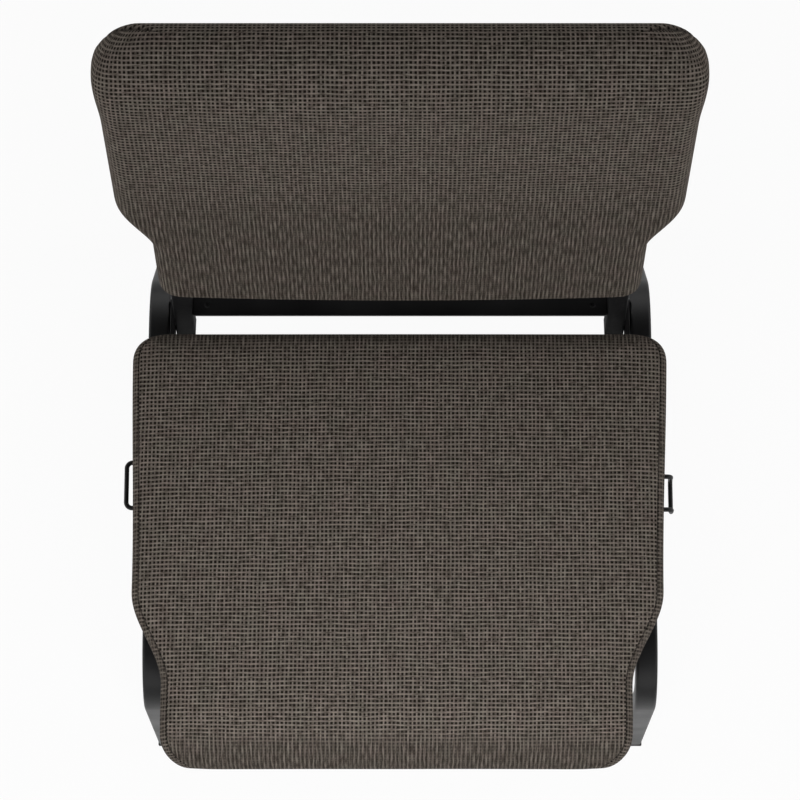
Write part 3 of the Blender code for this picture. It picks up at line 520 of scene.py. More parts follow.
def make_tubes(powder_coat, shaded_coat):
    """The welded frame: side frames, cross tubes, uprights and the tube that ties them."""
    tube = square_profile(TUBE, TUBE_CORNER)
    small_tube = square_profile(CROSS_TUBE, CROSS_TUBE_CORNER)
    for side, sign in SIDES.items():
        name = f"side_frame_{side}"
        mesh = sweep(name, side_frame_path(), tube, side_plane(sign))
        add_piece(name + "_tube", mesh, powder_coat, "powder_coat", name)
    for end, y in CROSS_TUBE_Y.items():
        name = f"seat_cross_tube_{end}"
        path = [Vector((x, y, CROSS_TUBE_Z)) for x in (-CROSS_HALF, CROSS_HALF)]
        mesh = sweep(name, path, small_tube, Matrix(), (0, 0, 1))
        add_piece(name + "_tube", mesh, powder_coat, "powder_coat", name)
    recline = back_place()
    low = (UPRIGHT_FOOT_Z - BACK_FOOT[2]) / math.cos(BACK_RECLINE)
    low += UPRIGHT_MIDDLE * math.tan(BACK_RECLINE)
    for side, sign in SIDES.items():
        name = f"back_upright_{side}"
        path = [Vector((sign * UPRIGHT_X, UPRIGHT_MIDDLE, z)) for z in (low, UPRIGHT_TOP)]
        # The uprights wear a darker, duller copy of the powder coat: painted shade from the back above
        # them
        add_piece(name + "_tube", sweep(name, path, small_tube, recline), shaded_coat, "powder_coat", name)
    name = "back_upper_tube"
    ends = (-UPPER_TUBE_HALF, UPPER_TUBE_HALF)
    path = [Vector((x, UPRIGHT_MIDDLE, UPPER_TUBE_HEIGHT)) for x in ends]
    mesh = sweep(name, path, small_tube, recline, (0, 0, 1))
    add_piece(name + "_tie", mesh, powder_coat, "powder_coat", name)


def make_ganging_wires(powder_coat):
    """The loop on the left rail and the hook on the right rail."""
    profile = round_profile(WIRE)
    start = TUBE / 2
    first, last = LOOP_ENDS
    corners = [(-start, first), (-LOOP_REACH, first), (-LOOP_REACH, last), (-start, last)]
    path = bent_path([(x, y, WIRE_LIFT) for x, y in corners], WIRE_BEND, WIRE_BEND_STEPS)
    mesh = sweep("loop", path, profile, side_plane(-1), (0, 0, 1))
    add_piece("ganging_loop_wire", mesh, powder_coat, "powder_coat", "ganging_loop")
    first, last = HOOK_ENDS
    low = WIRE_LIFT - HOOK_DROP
    corners = [(start, first, WIRE_LIFT), (HOOK_REACH, first, WIRE_LIFT), (HOOK_REACH, first, low)]
    corners += [(x, last, z) for x, _, z in reversed(corners)]
    path = bent_path(corners, WIRE_BEND, WIRE_BEND_STEPS)
    mesh = sweep("hook", path, profile, side_plane(1), (0, 1, 0))
    add_piece("ganging_hook_wire", mesh, powder_coat, "powder_coat", "ganging_hook")


# Upholstered pads


def spaced(low, high, step):
    """Evenly spaced values from low to high, about this far apart."""
    return list(np.linspace(low, high, max(int(round((high - low) / step)), 1) + 1))


def seat_half_width(y):
    """Half the seat's width in plan: drawn in a little, then notched to clear the front legs."""
    drawn = SEAT_DRAW * smooth_step((SEAT_REAR_Y - y) / (SEAT_REAR_Y - NOTCH_Y))
    wide = SEAT_HALF_WIDTH - drawn
    step = smooth_step((NOTCH_Y - y) / NOTCH_LENGTH)
    return wide + (SEAT_HALF_WIDTH - NOTCH_DEPTH - wide) * step


def seat_top(y):
    """Height of the seat's middle line, which falls towards the rear."""
    return SEAT_HEIGHT - y * math.tan(SEAT_PITCH)


def seat_stations():
    """Depth, underside, top and crown of the seat's sections, from the front edge to the rear."""
    roll_y = SEAT_FRONT_Y + FRONT_ROLL
    front_top = seat_top(roll_y) - FRONT_DROP
    rear_y = SEAT_REAR_Y - REAR_ROLL
    rear_top = seat_top(rear_y) - REAR_ROLL
    for turn in np.radians(FRONT_ROLL_TURNS):
        level = math.cos(turn)
        y = roll_y - FRONT_ROLL * math.sin(turn)
        under = SEAT_BASE + FRONT_UNDER * (1 - level)
        yield y, under, front_top + FRONT_DROP * level, SEAT_CROWN * level
    for y in spaced(roll_y, rear_y, PAD_GRID):
        yield y, SEAT_BASE, seat_top(y), SEAT_CROWN
    for turn in np.radians(REAR_ROLL_TURNS):
        level = math.cos(turn)
        y = rear_y + REAR_ROLL * math.sin(turn)
        yield y, SEAT_BASE, rear_top + REAR_ROLL * level, SEAT_CROWN * level


def seat_ring(y, low, high, crown):
    """One section: the top from left to right, then right side, underside and left side."""
    front = corner_loss(y - SEAT_FRONT_Y, SEAT_FRONT_CORNER)
    rear = corner_loss(SEAT_REAR_Y - y, SEAT_REAR_CORNER)
    half = seat_half_width(y) - max(front, rear)
    height = high - low
    roll = min(SIDE_ROLL, SIDE_ROLL_SHARE * height)
    edge = min(LOWER_EDGE, height / 4)
    flat = half - roll
    columns = [flat * k / PAD_COLUMNS for k in range(PAD_COLUMNS + 1)]
    top = [(x, high - crown * (x / half) ** 2) for x in columns]
    shoulder = top[-1][1]
    side = []
    for turn in np.radians(SHOULDER_TURNS):
        side.append((flat + roll * math.sin(turn), shoulder - roll * (1 - math.cos(turn))))
    start = side[-1][1]
    foot = half - SIDE_TUCK
    for t in SIDE_STOPS:
        bow = SIDE_TUCK * (t + (2 * SIDE_BELLY - 1) * 2 * t * (1 - t))
        side.append((half - bow, start + (low + edge - start) * t))
    cut = edge * (1 - math.cos(math.pi / 4))
    side.append((foot - cut, low + cut))
    under = [((foot - edge) * (1 - k / PAD_COLUMNS), low) for k in range(PAD_COLUMNS + 1)]
    aside = SEAT_SKEW * (y - SEAT_REAR_Y)
    return mirror_ring(top, side, under, lambda x, z: (x + aside, y, z))


def mirror_ring(face, side, rear, place):
    """A closed ring from its right half: face outwards, side, then rear face inwards."""
    right = [place(x, z) for x, z in face[1:] + side + rear[:-1]]
    left = [place(-x, z) for x, z in face[1:] + side + rear[:-1]]
    count = len(face) - 1
    middle_face, middle_rear = place(0.0, face[0][1]), place(0.0, rear[-1][1])
    ring = list(reversed(left[:count])) + [middle_face] + right[: count + len(side)]
    ring += right[count + len(side) :] + [middle_rear] + list(reversed(left[count:]))
    return ring


def back_half_width(height):
    """Half the back's width: narrow below, stepping out in an S, then bulging towards the top."""
    step = smooth_step((height - BACK_STEP_START) / BACK_STEP_LENGTH)
    bulge = BACK_BULGE * smooth_step((height - BACK_BULGE_START) / BACK_BULGE_LENGTH)
    return BACK_LOWER_HALF_WIDTH + (BACK_HALF_WIDTH - BACK_LOWER_HALF_WIDTH) * step + bulge


def back_faces(height):
    """Front and rear faces of the back at this height; two arcs meet over the top."""
    centre = BACK_HEIGHT - BACK_REAR_ROLL
    rear_y = BACK_TOP_DEPTH - BACK_REAR_ROLL
    apart = BACK_TOP_ROLL - BACK_REAR_ROLL
    across = min(BACK_TOP_ROLL - rear_y, apart)
    below = math.sqrt(apart**2 - across**2)
    front_height = centre - below
    front, rear = 0.0, BACK_DEPTH + (BACK_TOP_DEPTH - BACK_DEPTH) * height / centre
    if height < BACK_FOOT_ROLL:
        loss = corner_loss(height, BACK_FOOT_ROLL)
        return loss, rear - loss
    if height > front_height:
        front = BACK_TOP_ROLL - math.sqrt(max(BACK_TOP_ROLL**2 - (height - front_height) ** 2, 0.0))
    if height > centre:
        reach = math.sqrt(max(BACK_REAR_ROLL**2 - (height - centre) ** 2, 0.0))
        rear = rear_y + reach
        if height > front_height + BACK_TOP_ROLL * below / apart:
            front = rear_y - reach
    return front, rear


def back_stations():
    """Heights of the back's sections, foot to top."""
    centre = BACK_HEIGHT - BACK_REAR_ROLL
    for turn in np.radians(BACK_FOOT_TURNS):
        yield BACK_FOOT_ROLL * (1 - math.sin(turn))
    yield from spaced(BACK_FOOT_ROLL, centre, PAD_GRID)
    for turn in np.radians(BACK_TOP_TURNS):
        yield centre + BACK_REAR_ROLL * math.sin(turn)


def back_ring(height, place):
    """One section: the front from left to right, then right side, rear and left side."""
    front, rear = back_faces(height)
    depth = rear - front
    corner = corner_loss(BACK_HEIGHT - height, *BACK_TOP_CORNER) + corner_loss(height, *BACK_FOOT_CORNER)
    half = back_half_width(height) - corner
    thin = min(depth / BACK_DEPTH, 1.0)
    across = BACK_SIDE_ROUND * thin
    flat = half - across
    crown = BACK_CROWN * thin
    fall = crown * (flat / half) ** 2
    widest = front + max(BACK_WIDEST * thin, fall)
    round_start = BACK_HEIGHT - BACK_REAR_ROLL - BACK_TOP_BLEND
    above = smooth_step((height - round_start) / BACK_TOP_BLEND)
    tuck = BACK_SIDE_TUCK * thin * (1 - above)
    round_behind = BACK_REAR_ROUND + (BACK_TOP_ROUND - BACK_REAR_ROUND) * above
    edge = min(round_behind * thin, rear - widest)
    columns = [flat * k / PAD_COLUMNS for k in range(PAD_COLUMNS + 1)]
    face = [(x, front + crown * (x / half) ** 2) for x in columns]
    side = []
    fullness = 2 / BACK_SIDE_FULLNESS
    for turn in np.radians(BACK_SIDE_TURNS):
        y = widest - (widest - front - fall) * max(math.cos(turn), 0.0) ** fullness
        side.append((flat + across * math.sin(turn) ** fullness, y))
    for t in BACK_SIDE_STOPS:
        side.append((half - tuck * t, widest + (rear - edge - widest) * t))
    for turn in np.radians(REAR_EDGE_TURNS):
        side.append((half - tuck - edge * (1 - math.cos(turn)), rear - edge * (1 - math.sin(turn))))
    end = half - tuck - edge
    behind = [(end * (1 - k / PAD_COLUMNS), rear) for k in range(PAD_COLUMNS + 1)]
    return mirror_ring(face, side, behind, lambda x, y: tuple(place @ Vector((x, y, height))))


def cap_grid(ring, rows):
    """Rows of points that close a ring's end, from its face's row to its rear face's row."""
    count = 2 * PAD_COLUMNS + 1
    face = ring[:count]
    right = ring[count : count + rows]
    rear = ring[count + rows : 2 * count + rows][::-1]
    left = ring[2 * count + rows :][::-1]
    grid = []
    for r in range(rows):
        span = np.linalg.norm(rear[-1] - face[-1])
        t = np.dot(right[r] - face[-1], rear[-1] - face[-1]) / span**2
        row = face + (rear - face) * t
        stretch = np.linspace(0, 1, count)[:, None]
        row = row + (left[r] - row[0]) * (1 - stretch) + (right[r] - row[-1]) * stretch
        grid.append(row)
    return grid


def pad_mesh(name, rings, rows, maps, panel, pull_and_shade):
    """A closed pad lofted from rings, with weave coordinates for its panels, and its cloth's pull and
    painted seam shade.
    """
    rings = np.array(rings)
    stations, around = rings.shape[:2]
    count = 2 * PAD_COLUMNS + 1
    points = [rings.reshape(-1, 3)]
    faces, coords = [], []
    for i in range(stations - 1):
        for j in range(around):
            n = (j + 1) % around
            chart = maps[panel[j]]
            faces.append((i * around + j, i * around + n, (i + 1) * around + n, (i + 1) * around + j))
            coords.append((chart[i][j], chart[i][n], chart[i + 1][n], chart[i + 1][j]))
    total = stations * around
    for i in (0, stations - 1):
        base = i * around
        edge = [[base + c for c in range(count)]]
        for r, row in enumerate(cap_grid(rings[i], rows)):
            inner = list(range(total, total + count - 2))
            points.append(row[1:-1])
            total += count - 2
            left = base + around - 1 - r
            edge.append([left, *inner, base + count + r])
        edge.append([base + 2 * count + rows - 1 - c for c in range(count)])
        # The face's weave runs on over the end
        place = np.concatenate(points)
        passed = run_length(place[[line[PAD_COLUMNS] for line in edge]])
        runs = maps[0][i][PAD_COLUMNS][1] + (passed if i else -passed)
        middle = place[edge[0][PAD_COLUMNS]][0]
        for one, two, run, next_run in zip(edge, edge[1:], runs, runs[1:]):
            for c in range(count - 1):
                quad = (one[c], one[c + 1], two[c + 1], two[c])
                faces.append(quad)
                spots = zip(quad, (run, run, next_run, next_run))
                coords.append([(place[q][0] - middle, v) for q, v in spots])
    mesh = bpy.data.meshes.new(name)
    mesh.from_pydata([tuple(p) for p in np.concatenate(points)], [], faces)
    for layer_name, values in pull_and_shade.items():
        ends = [np.repeat(values[i, PAD_COLUMNS], rows * (count - 2)) for i in (0, -1)]
        layer = mesh.attributes.new(layer_name, "FLOAT", "POINT")
        layer.data.foreach_set("value", np.concatenate([values.ravel(), *ends]).astype(np.float32))
    weave = mesh.uv_layers.new(name="weave")
    weave.data.foreach_set("uv", np.array(coords, np.float32).ravel())
    shape = bmesh.new()
    shape.from_mesh(mesh)
    bmesh.ops.recalc_face_normals(shape, faces=shape.faces)
    for face in shape.faces:
        face.smooth = True
    shape.to_mesh(mesh)
    shape.free()
    return mesh


def run_length(points):
    """Distance along a line of points, from its first."""
    steps = np.linalg.norm(np.diff(points, axis=0), axis=1)
    return np.concatenate([[0.0], np.cumsum(steps)])


def across_length(ring, run):
    """Distance across the cloth from the middle of a ring's face: right above zero, left below."""
    half = len(ring) // 2
    order = np.roll(np.arange(len(ring)), -PAD_COLUMNS)
    sides = []
    for way in (order[: half + 1], np.concatenate([order[:1], order[:half:-1]])):
        steps = np.linalg.norm(np.diff(ring[way], axis=0), axis=1)
        across = np.sqrt(np.maximum(steps**2 - np.diff(run[way]) ** 2, 0.0))
        sides.append(np.concatenate([[0.0], np.cumsum(across)]))
    return np.roll(np.concatenate([sides[0], -sides[1][:0:-1]]), PAD_COLUMNS)


def cloth_chart(rings, inward):
    """Weave coordinates of cloth that lies straight along a pad and folds in round its edges."""
    along = run_length(rings[:, PAD_COLUMNS])
    depth = rings @ np.array(inward)
    lean = np.gradient(depth[:, PAD_COLUMNS], along)
    run = along[:, None] + (depth - depth[:, [PAD_COLUMNS]]) * lean[:, None]
    over = [across_length(ring, line) for ring, line in zip(rings, run)]
    return np.stack([over, run], axis=2)


def pull_and_seam_shade(pull, around, seams):
    """Where the cloth is pulled along the pad, and where painted shade darkens it in and beside its
    seams, point by point.
    """
    pulled = np.repeat(np.array(pull)[:, None], around, axis=1)
    seam_shade = np.zeros_like(pulled)
    # Painted shade: full in the seam's row, less in the rows beside it
    for seam in seams:
        seam_shade[:, [seam - 1, seam, seam + 1]] = (SEAM_SHADE_BESIDE, 1.0, SEAM_SHADE_BESIDE)
    return {"pull": pulled, "seam_shade": seam_shade}


def swell(piece, held):
    """Presses a cover out from inside; held says how firmly each point is sewn or glued down."""
    group = piece.vertex_groups.new(name="held")
    for index, weight in enumerate(held):
        if weight > 0:
            group.add([index], float(weight), "REPLACE")
    cloth = piece.modifiers.new("foam_pressure", "CLOTH")
    cloth.settings.vertex_group_mass = "held"
    cloth.settings.use_pressure = True
    cloth.settings.uniform_pressure_force = PAD_PRESSURE
    cloth.settings.effector_weights.gravity = 0.0
    cloth.point_cache.frame_end = PAD_FRAMES
    for number in range(1, PAD_FRAMES + 1):
        bpy.context.scene.frame_set(number)


def swelling(mesh, swollen):
    """How far the foam moves each point along its normal, evened over its neighbours and limited."""
    normals = points_of(mesh, "normal")
    out = np.sum((points_of(swollen) - points_of(mesh)) * normals, axis=1)
    ends = np.zeros(2 * len(mesh.edges), np.int32)
    mesh.edges.foreach_get("vertices", ends)
    one, two = ends[::2], ends[1::2]
    count = len(out)
    beside = np.bincount(ends, minlength=count)
    for _ in range(PAD_EVEN_PASSES):
        near = np.bincount(one, out[two], count) + np.bincount(two, out[one], count)
        out = (out + near / beside) / 2
    limit = np.where(out > 0, PAD_SWELL, PAD_DRAW)
    return (limit * np.tanh(out / limit))[:, None] * normals


def padded_out(name, mesh, held, seam_rows):
    """The pad swollen by its foam, drawn in along its seams and subdivided."""
    points = points_of(mesh)
    swollen = settled(name, mesh.copy(), lambda piece: swell(piece, held))
    points = points + swelling(mesh, swollen)
    bpy.context.scene.frame_set(1)
    mesh.vertices.foreach_set("co", points.ravel())
    mesh.update()
    normals = points_of(mesh, "normal")
    for row in seam_rows:
        points[row] -= normals[row] * SEAM_DEPTH
    mesh.vertices.foreach_set("co", points.ravel())
    mesh.update()

    def subdivide(piece):
        finer = piece.modifiers.new("finer", "SUBSURF")
        finer.levels = finer.render_levels = 1

    return settled(name, mesh, subdivide), [points[row] for row in seam_rows]


def upholster(name, mesh, rings, base, seams, fabric, *nodes):
    """A pad held at its base and along its seams, swollen by its foam, in place of these nodes."""
    stations, around = rings.shape[:2]
    held = np.zeros(len(mesh.vertices))
    sheet = held[: stations * around].reshape(-1, around)
    sheet[:, base] = 1.0
    sheet[:, seams] = SEAM_HOLD
    seam_rows = [np.arange(stations) * around + seam for seam in seams]
    mesh, lines = padded_out(name, mesh, held, seam_rows)
    cushion = add_piece(name, mesh, fabric, "woven_fabric", *nodes)
    return lines


def make_seat_cushion(fabric):
    """The seat pad: a top panel that falls over the front, sewn to bands along the sides."""
    rings = np.array([seat_ring(*station) for station in seat_stations()])
    around = rings.shape[1]
    rows = len(SHOULDER_TURNS) + len(SIDE_STOPS) + 1
    count = 2 * PAD_COLUMNS + 1
    edge = run_length(rings[:, count + len(SHOULDER_TURNS) - 1])
    over = np.array([across_length(ring, np.zeros(around)) for ring in rings])
    top = cloth_chart(rings, (0, 0, -1))
    band = np.stack([np.repeat(edge[:, None], around, axis=1), np.abs(over)], axis=2)
    under = rings[:, :, :2]
    seams = (count - 1 + SEAM_ROW, around - SEAM_ROW)
    base = slice(count + rows - 1, 2 * count + rows + 1)
    panel = np.zeros(around, int)
    panel[seams[0] : count + rows - 1] = 1
    panel[count + rows - 1 : 2 * count + rows - 1] = 2
    panel[2 * count + rows - 1 : seams[1]] = 1
    spans = [(SEAT_LIP_Y - y, y - SEAT_END_Y) for y in rings[:, 0, 1]]
    pull = [smooth_step(max(span) / SEAT_PULL_LENGTH) for span in spans]
    pull_and_shade = pull_and_seam_shade(pull, around, seams)
    pull_and_shade["pull"][:, panel == 1] = BAND_PULL
    mesh = pad_mesh("seat_cushion", rings, rows, (top, band, under), panel, pull_and_shade)
    return upholster("seat_cushion", mesh, rings, base, seams, fabric, "seat_cover", "seat_foam")


def make_back_cushion(fabric):
    """The back pad: one cover over front, sides and top, sewn to a panel behind."""
    place = back_place()
    heights = list(back_stations())
    rings = np.array([back_ring(height, place) for height in heights])
    around = rings.shape[1]
    rows = len(BACK_SIDE_TURNS) + len(BACK_SIDE_STOPS) + len(REAR_EDGE_TURNS)
    count = 2 * PAD_COLUMNS + 1
    behind = run_length(rings[::-1, count + rows + PAD_COLUMNS])[::-1]
    front = cloth_chart(rings, place.col[1][:3])
    rear = np.stack([rings[:, :, 0], np.repeat(behind[:, None], around, axis=1)], axis=2)
    seams = (count - 1 + REAR_SEAM_ROW, around - REAR_SEAM_ROW)
    base = slice(count + rows, 2 * count + rows)
    panel = np.zeros(around, int)
    panel[seams[0] : seams[1]] = 1
    pull = [smooth_step((BACK_PULL_HEIGHT - height) / BACK_PULL_LENGTH) for height in heights]
    pull_and_shade = pull_and_seam_shade(pull, around, seams)
    mesh = pad_mesh("back_cushion", rings, rows, (front, rear), panel, pull_and_shade)
    return upholster("back_cushion", mesh, rings, base, seams, fabric, "back_cover", "back_foam")


# Rows of stitches, staples and weld ripples


def make_row_tree():
    """Geometry nodes that set a small shape in rows along lines."""
    tree = bpy.data.node_groups.new("row_along_lines", "GeometryNodeTree")
    inputs = {
        "Lines": "NodeSocketGeometry",
        "Shape": "NodeSocketObject",
        "Spacing": "NodeSocketFloat",
        "Least Size": "NodeSocketFloat",
        "Seed": "NodeSocketInt",
        "Finish": "NodeSocketMaterial",
    }
    for name, kind in inputs.items():
        tree.interface.new_socket(name, in_out="INPUT", socket_type=kind)
    tree.interface.new_socket("Row", in_out="OUTPUT", socket_type="NodeSocketGeometry")
    given = add_node(tree, "NodeGroupInput").outputs
    line = add_node(tree, "GeometryNodeMeshToCurve", {"Mesh": given["Lines"]}).outputs[0]
    spacing = {"Curve": line, "Length": given["Spacing"]}
    spots = add_node(tree, "GeometryNodeResampleCurve", spacing, mode="LENGTH").outputs[0]
    # Each shape's X axis lies along its line, and its Z axis stays as upright as it can
    align = "FunctionNodeAlignRotationToVector"
    ahead = add_node(tree, "GeometryNodeInputTangent").outputs[0]
    aligned = add_node(tree, align, {"Vector": ahead}, axis="X").outputs[0]
    upwards = {"Rotation": aligned, "Vector": (0.0, 0.0, 1.0)}
    upright = add_node(tree, align, upwards, axis="Z", pivot_axis="X").outputs[0]
    sizes = {2: given["Least Size"], 3: 1.0, "Seed": given["Seed"]}
    size = add_node(tree, "FunctionNodeRandomValue", sizes, data_type="FLOAT").outputs[1]
    shape = add_node(tree, "GeometryNodeObjectInfo", {"Object": given["Shape"]}).outputs["Geometry"]
    placed = {"Points": spots, "Instance": shape, "Rotation": upright, "Scale": size}
    row = add_node(tree, "GeometryNodeInstanceOnPoints", placed).outputs[0]
    solid = add_node(tree, "GeometryNodeRealizeInstances", {"Geometry": row}).outputs[0]
    painted = {"Geometry": solid, "Material": given["Finish"]}
    finished = add_node(tree, "GeometryNodeSetMaterial", painted).outputs[0]
    add_node(tree, "NodeGroupOutput", {"Row": finished})
    return tree


def make_row(name, tree, lines, shape, spacing, least_size, seed, material, slot):
    """Small shapes in rows along lines of points, as one plain mesh."""
    points = [tuple(point) for line in lines for point in line]
    edges = []
    first = 0
    for line in lines:
        edges += [(k, k + 1) for k in range(first, first + len(line) - 1)]
        first += len(line)
    guide = bpy.data.meshes.new(name + "_lines")
    guide.from_pydata(points, edges, [])
    sample = bpy.data.objects.new(name + "_shape", shape)
    bpy.context.scene.collection.objects.link(sample)
    values = {
        "Shape": sample,
        "Spacing": spacing,
        "Least Size": least_size,
        "Seed": seed,
        "Finish": material,
    }

    def set_row(piece):
        row = piece.modifiers.new("row", "NODES")
        row.node_group = tree
        for socket in tree.interface.items_tree:
            if socket.name in values:
                row[socket.identifier] = values[socket.name]

    mesh = settled(name, guide, set_row)
    bpy.data.objects.remove(sample)
    return add_piece(name, mesh, material, slot)


def bead_mesh(name, length, width):
    """A smooth round-ended bead along X."""
    shape = bmesh.new()
    bmesh.ops.create_uvsphere(shape, u_segments=BEAD_SIDES, v_segments=BEAD_RINGS, radius=0.5)
    bmesh.ops.rotate(shape, verts=shape.verts, matrix=Matrix.Rotation(math.pi / 2, 3, "Y"))
    bmesh.ops.scale(shape, verts=shape.verts, vec=(length, width, width))
    return finished_mesh(name, shape)


def make_stitches(tree, seams, thread):
    """Lockstitches that sit in the seams' grooves."""
    bead = bead_mesh("stitch", STITCH_LENGTH, STITCH_WIDTH)
    pattern = (STITCH_PITCH, STITCH_LEAST, STITCH_SEED)
    make_row("seam_stitches", tree, seams, bead, *pattern, thread, "woven_fabric")


def make_welds(tree, powder_coat):
    """Fillet welds, laid in ripples and painted over, where the frame's pieces meet."""
    lines = []
    half = CROSS_TUBE / 2
    rise = WELD_RISE_SHARE * half
    along_bar = BAR_WELD_SHARE * half
    for sign in SIDES.values():
        for y in CROSS_TUBE_Y.values():
            outline = [(-half, rise), (-half, -half), (half, -half), (half, rise)]
            corners = [(sign * CROSS_HALF, y + a, CROSS_TUBE_Z + b) for a, b in outline]
            lines.append(bent_path(corners, WELD_CORNER, WELD_CORNER_STEPS))
        for y in SPACER_Y:
            lines.append([Vector((sign * CROSS_HALF, y, z)) for z in SPACER_Z])
        bar_end = sign * (UPRIGHT_X - half)
        lines.append([Vector((bar_end, BAR_MIDDLE_Y + a, BAR_LOW)) for a in (-along_bar, along_bar)])
    wire = WIRE / 2
    for sign, ends in ((-1, LOOP_ENDS), (1, HOOK_ENDS)):
        for end in ends:
            ring = []
            for turn in np.radians(WIRE_WELD_TURNS):
                beside, above = end + wire * math.cos(turn), WIRE_LIFT + wire * math.sin(turn)
                ring.append(side_plane(sign) @ Vector((sign * TUBE / 2, beside, above)))
            lines.append(ring)
    ripple = bead_mesh("weld_ripple", WELD_SPACING * WELD_STRETCH, 2 * WELD_REACH)
    pattern = (WELD_SPACING, WELD_LEAST, WELD_SEED)
    make_row("frame_welds", tree, lines, ripple, *pattern, powder_coat, "powder_coat")


# Dust cloth and small fittings


def make_dust_cloth(dust_cloth):
    """The thin cloth stapled under the seat, which hangs a little between the cross tubes."""
    stops = [CLOTH_FRONT_Y, *CROSS_TUBE_Y.values(), CLOTH_REAR_Y]
    shape = bmesh.new()
    rows = []
    columns = 2 * PAD_COLUMNS
    depths = spaced(CLOTH_FRONT_Y, CLOTH_REAR_Y, CLOTH_GRID)
    for y in depths:
        half = seat_half_width(y) - CLOTH_INSET
        start = max(stop for stop in stops if stop <= y + NEARLY_NOTHING)
        end = min(stop for stop in stops if stop >= y - NEARLY_NOTHING)
        bay = math.sin(math.pi * (y - start) / max(end - start, NEARLY_NOTHING)) ** 2
        row = []
        for c in range(columns + 1):
            x = half * (2 * c / columns - 1)
            slack = smooth_step((half - abs(x)) / CLOTH_EASE - CLOTH_TAUT_SHARE)
            row.append(shape.verts.new((x, y, CLOTH_TOP - CLOTH_SAG * bay * slack)))
        rows.append(row)
    skin(shape, rows, closed=False)

    def thicken(piece):
        wall = piece.modifiers.new("thickness", "SOLIDIFY")
        wall.thickness = CLOTH_THICKNESS
        wall.offset = -1

    mesh = settled("seat_dust_cloth", finished_mesh("seat_dust_cloth", shape), thicken)
    cloth = add_piece("seat_dust_cloth", mesh, dust_cloth, "dust_cloth", "seat_dust_cover")


def make_cloth_staples(tree, zinc):
    """Wire staples that hold the dust cloth along its front, rear and sides."""
    low = CLOTH_TOP - CLOTH_THICKNESS
    ends = (CLOTH_FRONT_Y + STAPLE_INSET, CLOTH_REAR_Y - STAPLE_INSET)
    lines = []
    for y in ends:
        half = seat_half_width(y) - CLOTH_INSET - 2 * STAPLE_INSET
        lines.append([(-half, y, low), (half, y, low)])
    inset = CLOTH_INSET + STAPLE_INSET
    edge = spaced(ends[0] + STAPLE_PITCH / 2, ends[1] - STAPLE_PITCH / 2, CLOTH_GRID)
    for sign in SIDES.values():
        lines.append([(sign * (seat_half_width(y) - inset), y, low) for y in edge])
    half = STAPLE_WIDTH / 2
    thin = STAPLE_WIRE / 2
    corners = [(-half, 0, STAPLE_LEG), (-half, 0, 0), (half, 0, 0), (half, 0, STAPLE_LEG)]
    wire = [(thin, thin), (-thin, thin), (-thin, -thin), (thin, -thin)]
    path = bent_path(corners, STAPLE_WIRE, STAPLE_BEND_STEPS)
    staple = sweep("staple", path, wire, Matrix(), (0, 1, 0))
    pattern = (STAPLE_PITCH, STAPLE_LEAST, STAPLE_SEED)
    make_row("dust_cloth_staples", tree, lines, staple, *pattern, zinc, "zinc_steel")


def turned(name, rings, place):
    """A turned shape from rings of (radii round the axis, height), with its ends closed."""
    shape = bmesh.new()
    loops = []
    for radii, height in rings:
        step = math.tau / len(radii)
        loop = []
        for k, radius in enumerate(radii):
            x, y = radius * math.cos(k * step), radius * math.sin(k * step)
            loop.append(shape.verts.new((x, y, height)))
        loops.append(loop)
    skin(shape, loops)
    shape.faces.new(list(reversed(loops[0])))
    shape.faces.new(loops[-1])
    bmesh.ops.recalc_face_normals(shape, faces=shape.faces)
    bmesh.ops.transform(shape, matrix=place, verts=shape.verts)
    mesh = finished_mesh(name, shape)
    mesh.set_sharp_from_angle(angle=TURNED_SHARP_ANGLE)
    return mesh


def make_seat_screws(zinc):
    """Button-head screws with a hexagon socket, up through the cross tubes."""
    turns = [k * math.tau / SCREW_FACETS for k in range(SCREW_FACETS)]
    socket = [SCREW_SOCKET / 2 / math.cos(turn % (math.pi / 3) - math.pi / 6) for turn in turns]
    head = SCREW_HEAD / 2
    shank = SCREW_SHANK / 2
    outline = [(SCREW_FACE_SHARE * head, SCREW_LOW)]
    for turn in np.radians(SCREW_DOME_TURNS):
        reach = head * (SCREW_FACE_SHARE + (1 - SCREW_FACE_SHARE) * math.sin(turn))
        rise = SCREW_DOME_SHARE * SCREW_HEAD_HEIGHT * (1 - math.cos(turn))
        outline.append((reach, SCREW_LOW + rise))
    shoulder = SCREW_LOW + SCREW_HEAD_HEIGHT
    outline += [(head, shoulder), (shank, shoulder), (shank, SCREW_TOP - SCREW_POINT)]
    outline.append((SCREW_POINT_SHARE * shank, SCREW_TOP))
    rings = [(socket, SCREW_LOW + SCREW_SOCKET_DEPTH), (socket, SCREW_LOW)]
    rings += [([reach] * SCREW_FACETS, z) for reach, z in outline]
    for end, y in CROSS_TUBE_Y.items():
        for side, sign in SIDES.items():
            node = f"seat_{end}_{side}_screw"
            mesh = turned(node, rings, Matrix.Translation((sign * SCREW_X, y, 0)))
            add_piece(node + "_finished", mesh, zinc, "zinc_steel", node)


def make_bar_plugs(plastic):
    """Dished plugs that close the holes of the bar behind the seat."""
    rings = [([share * BAR_HOLE / 2] * PLUG_FACETS, z) for share, z in PLUG_OUTLINE]
    for side, sign in SIDES.items():
        place = Matrix.Translation((sign * BAR_HOLE_X, BAR_MIDDLE_Y, 0))
        add_piece(f"bar_hole_plug_{side}", turned("plug", rings, place), plastic, "black_plastic")


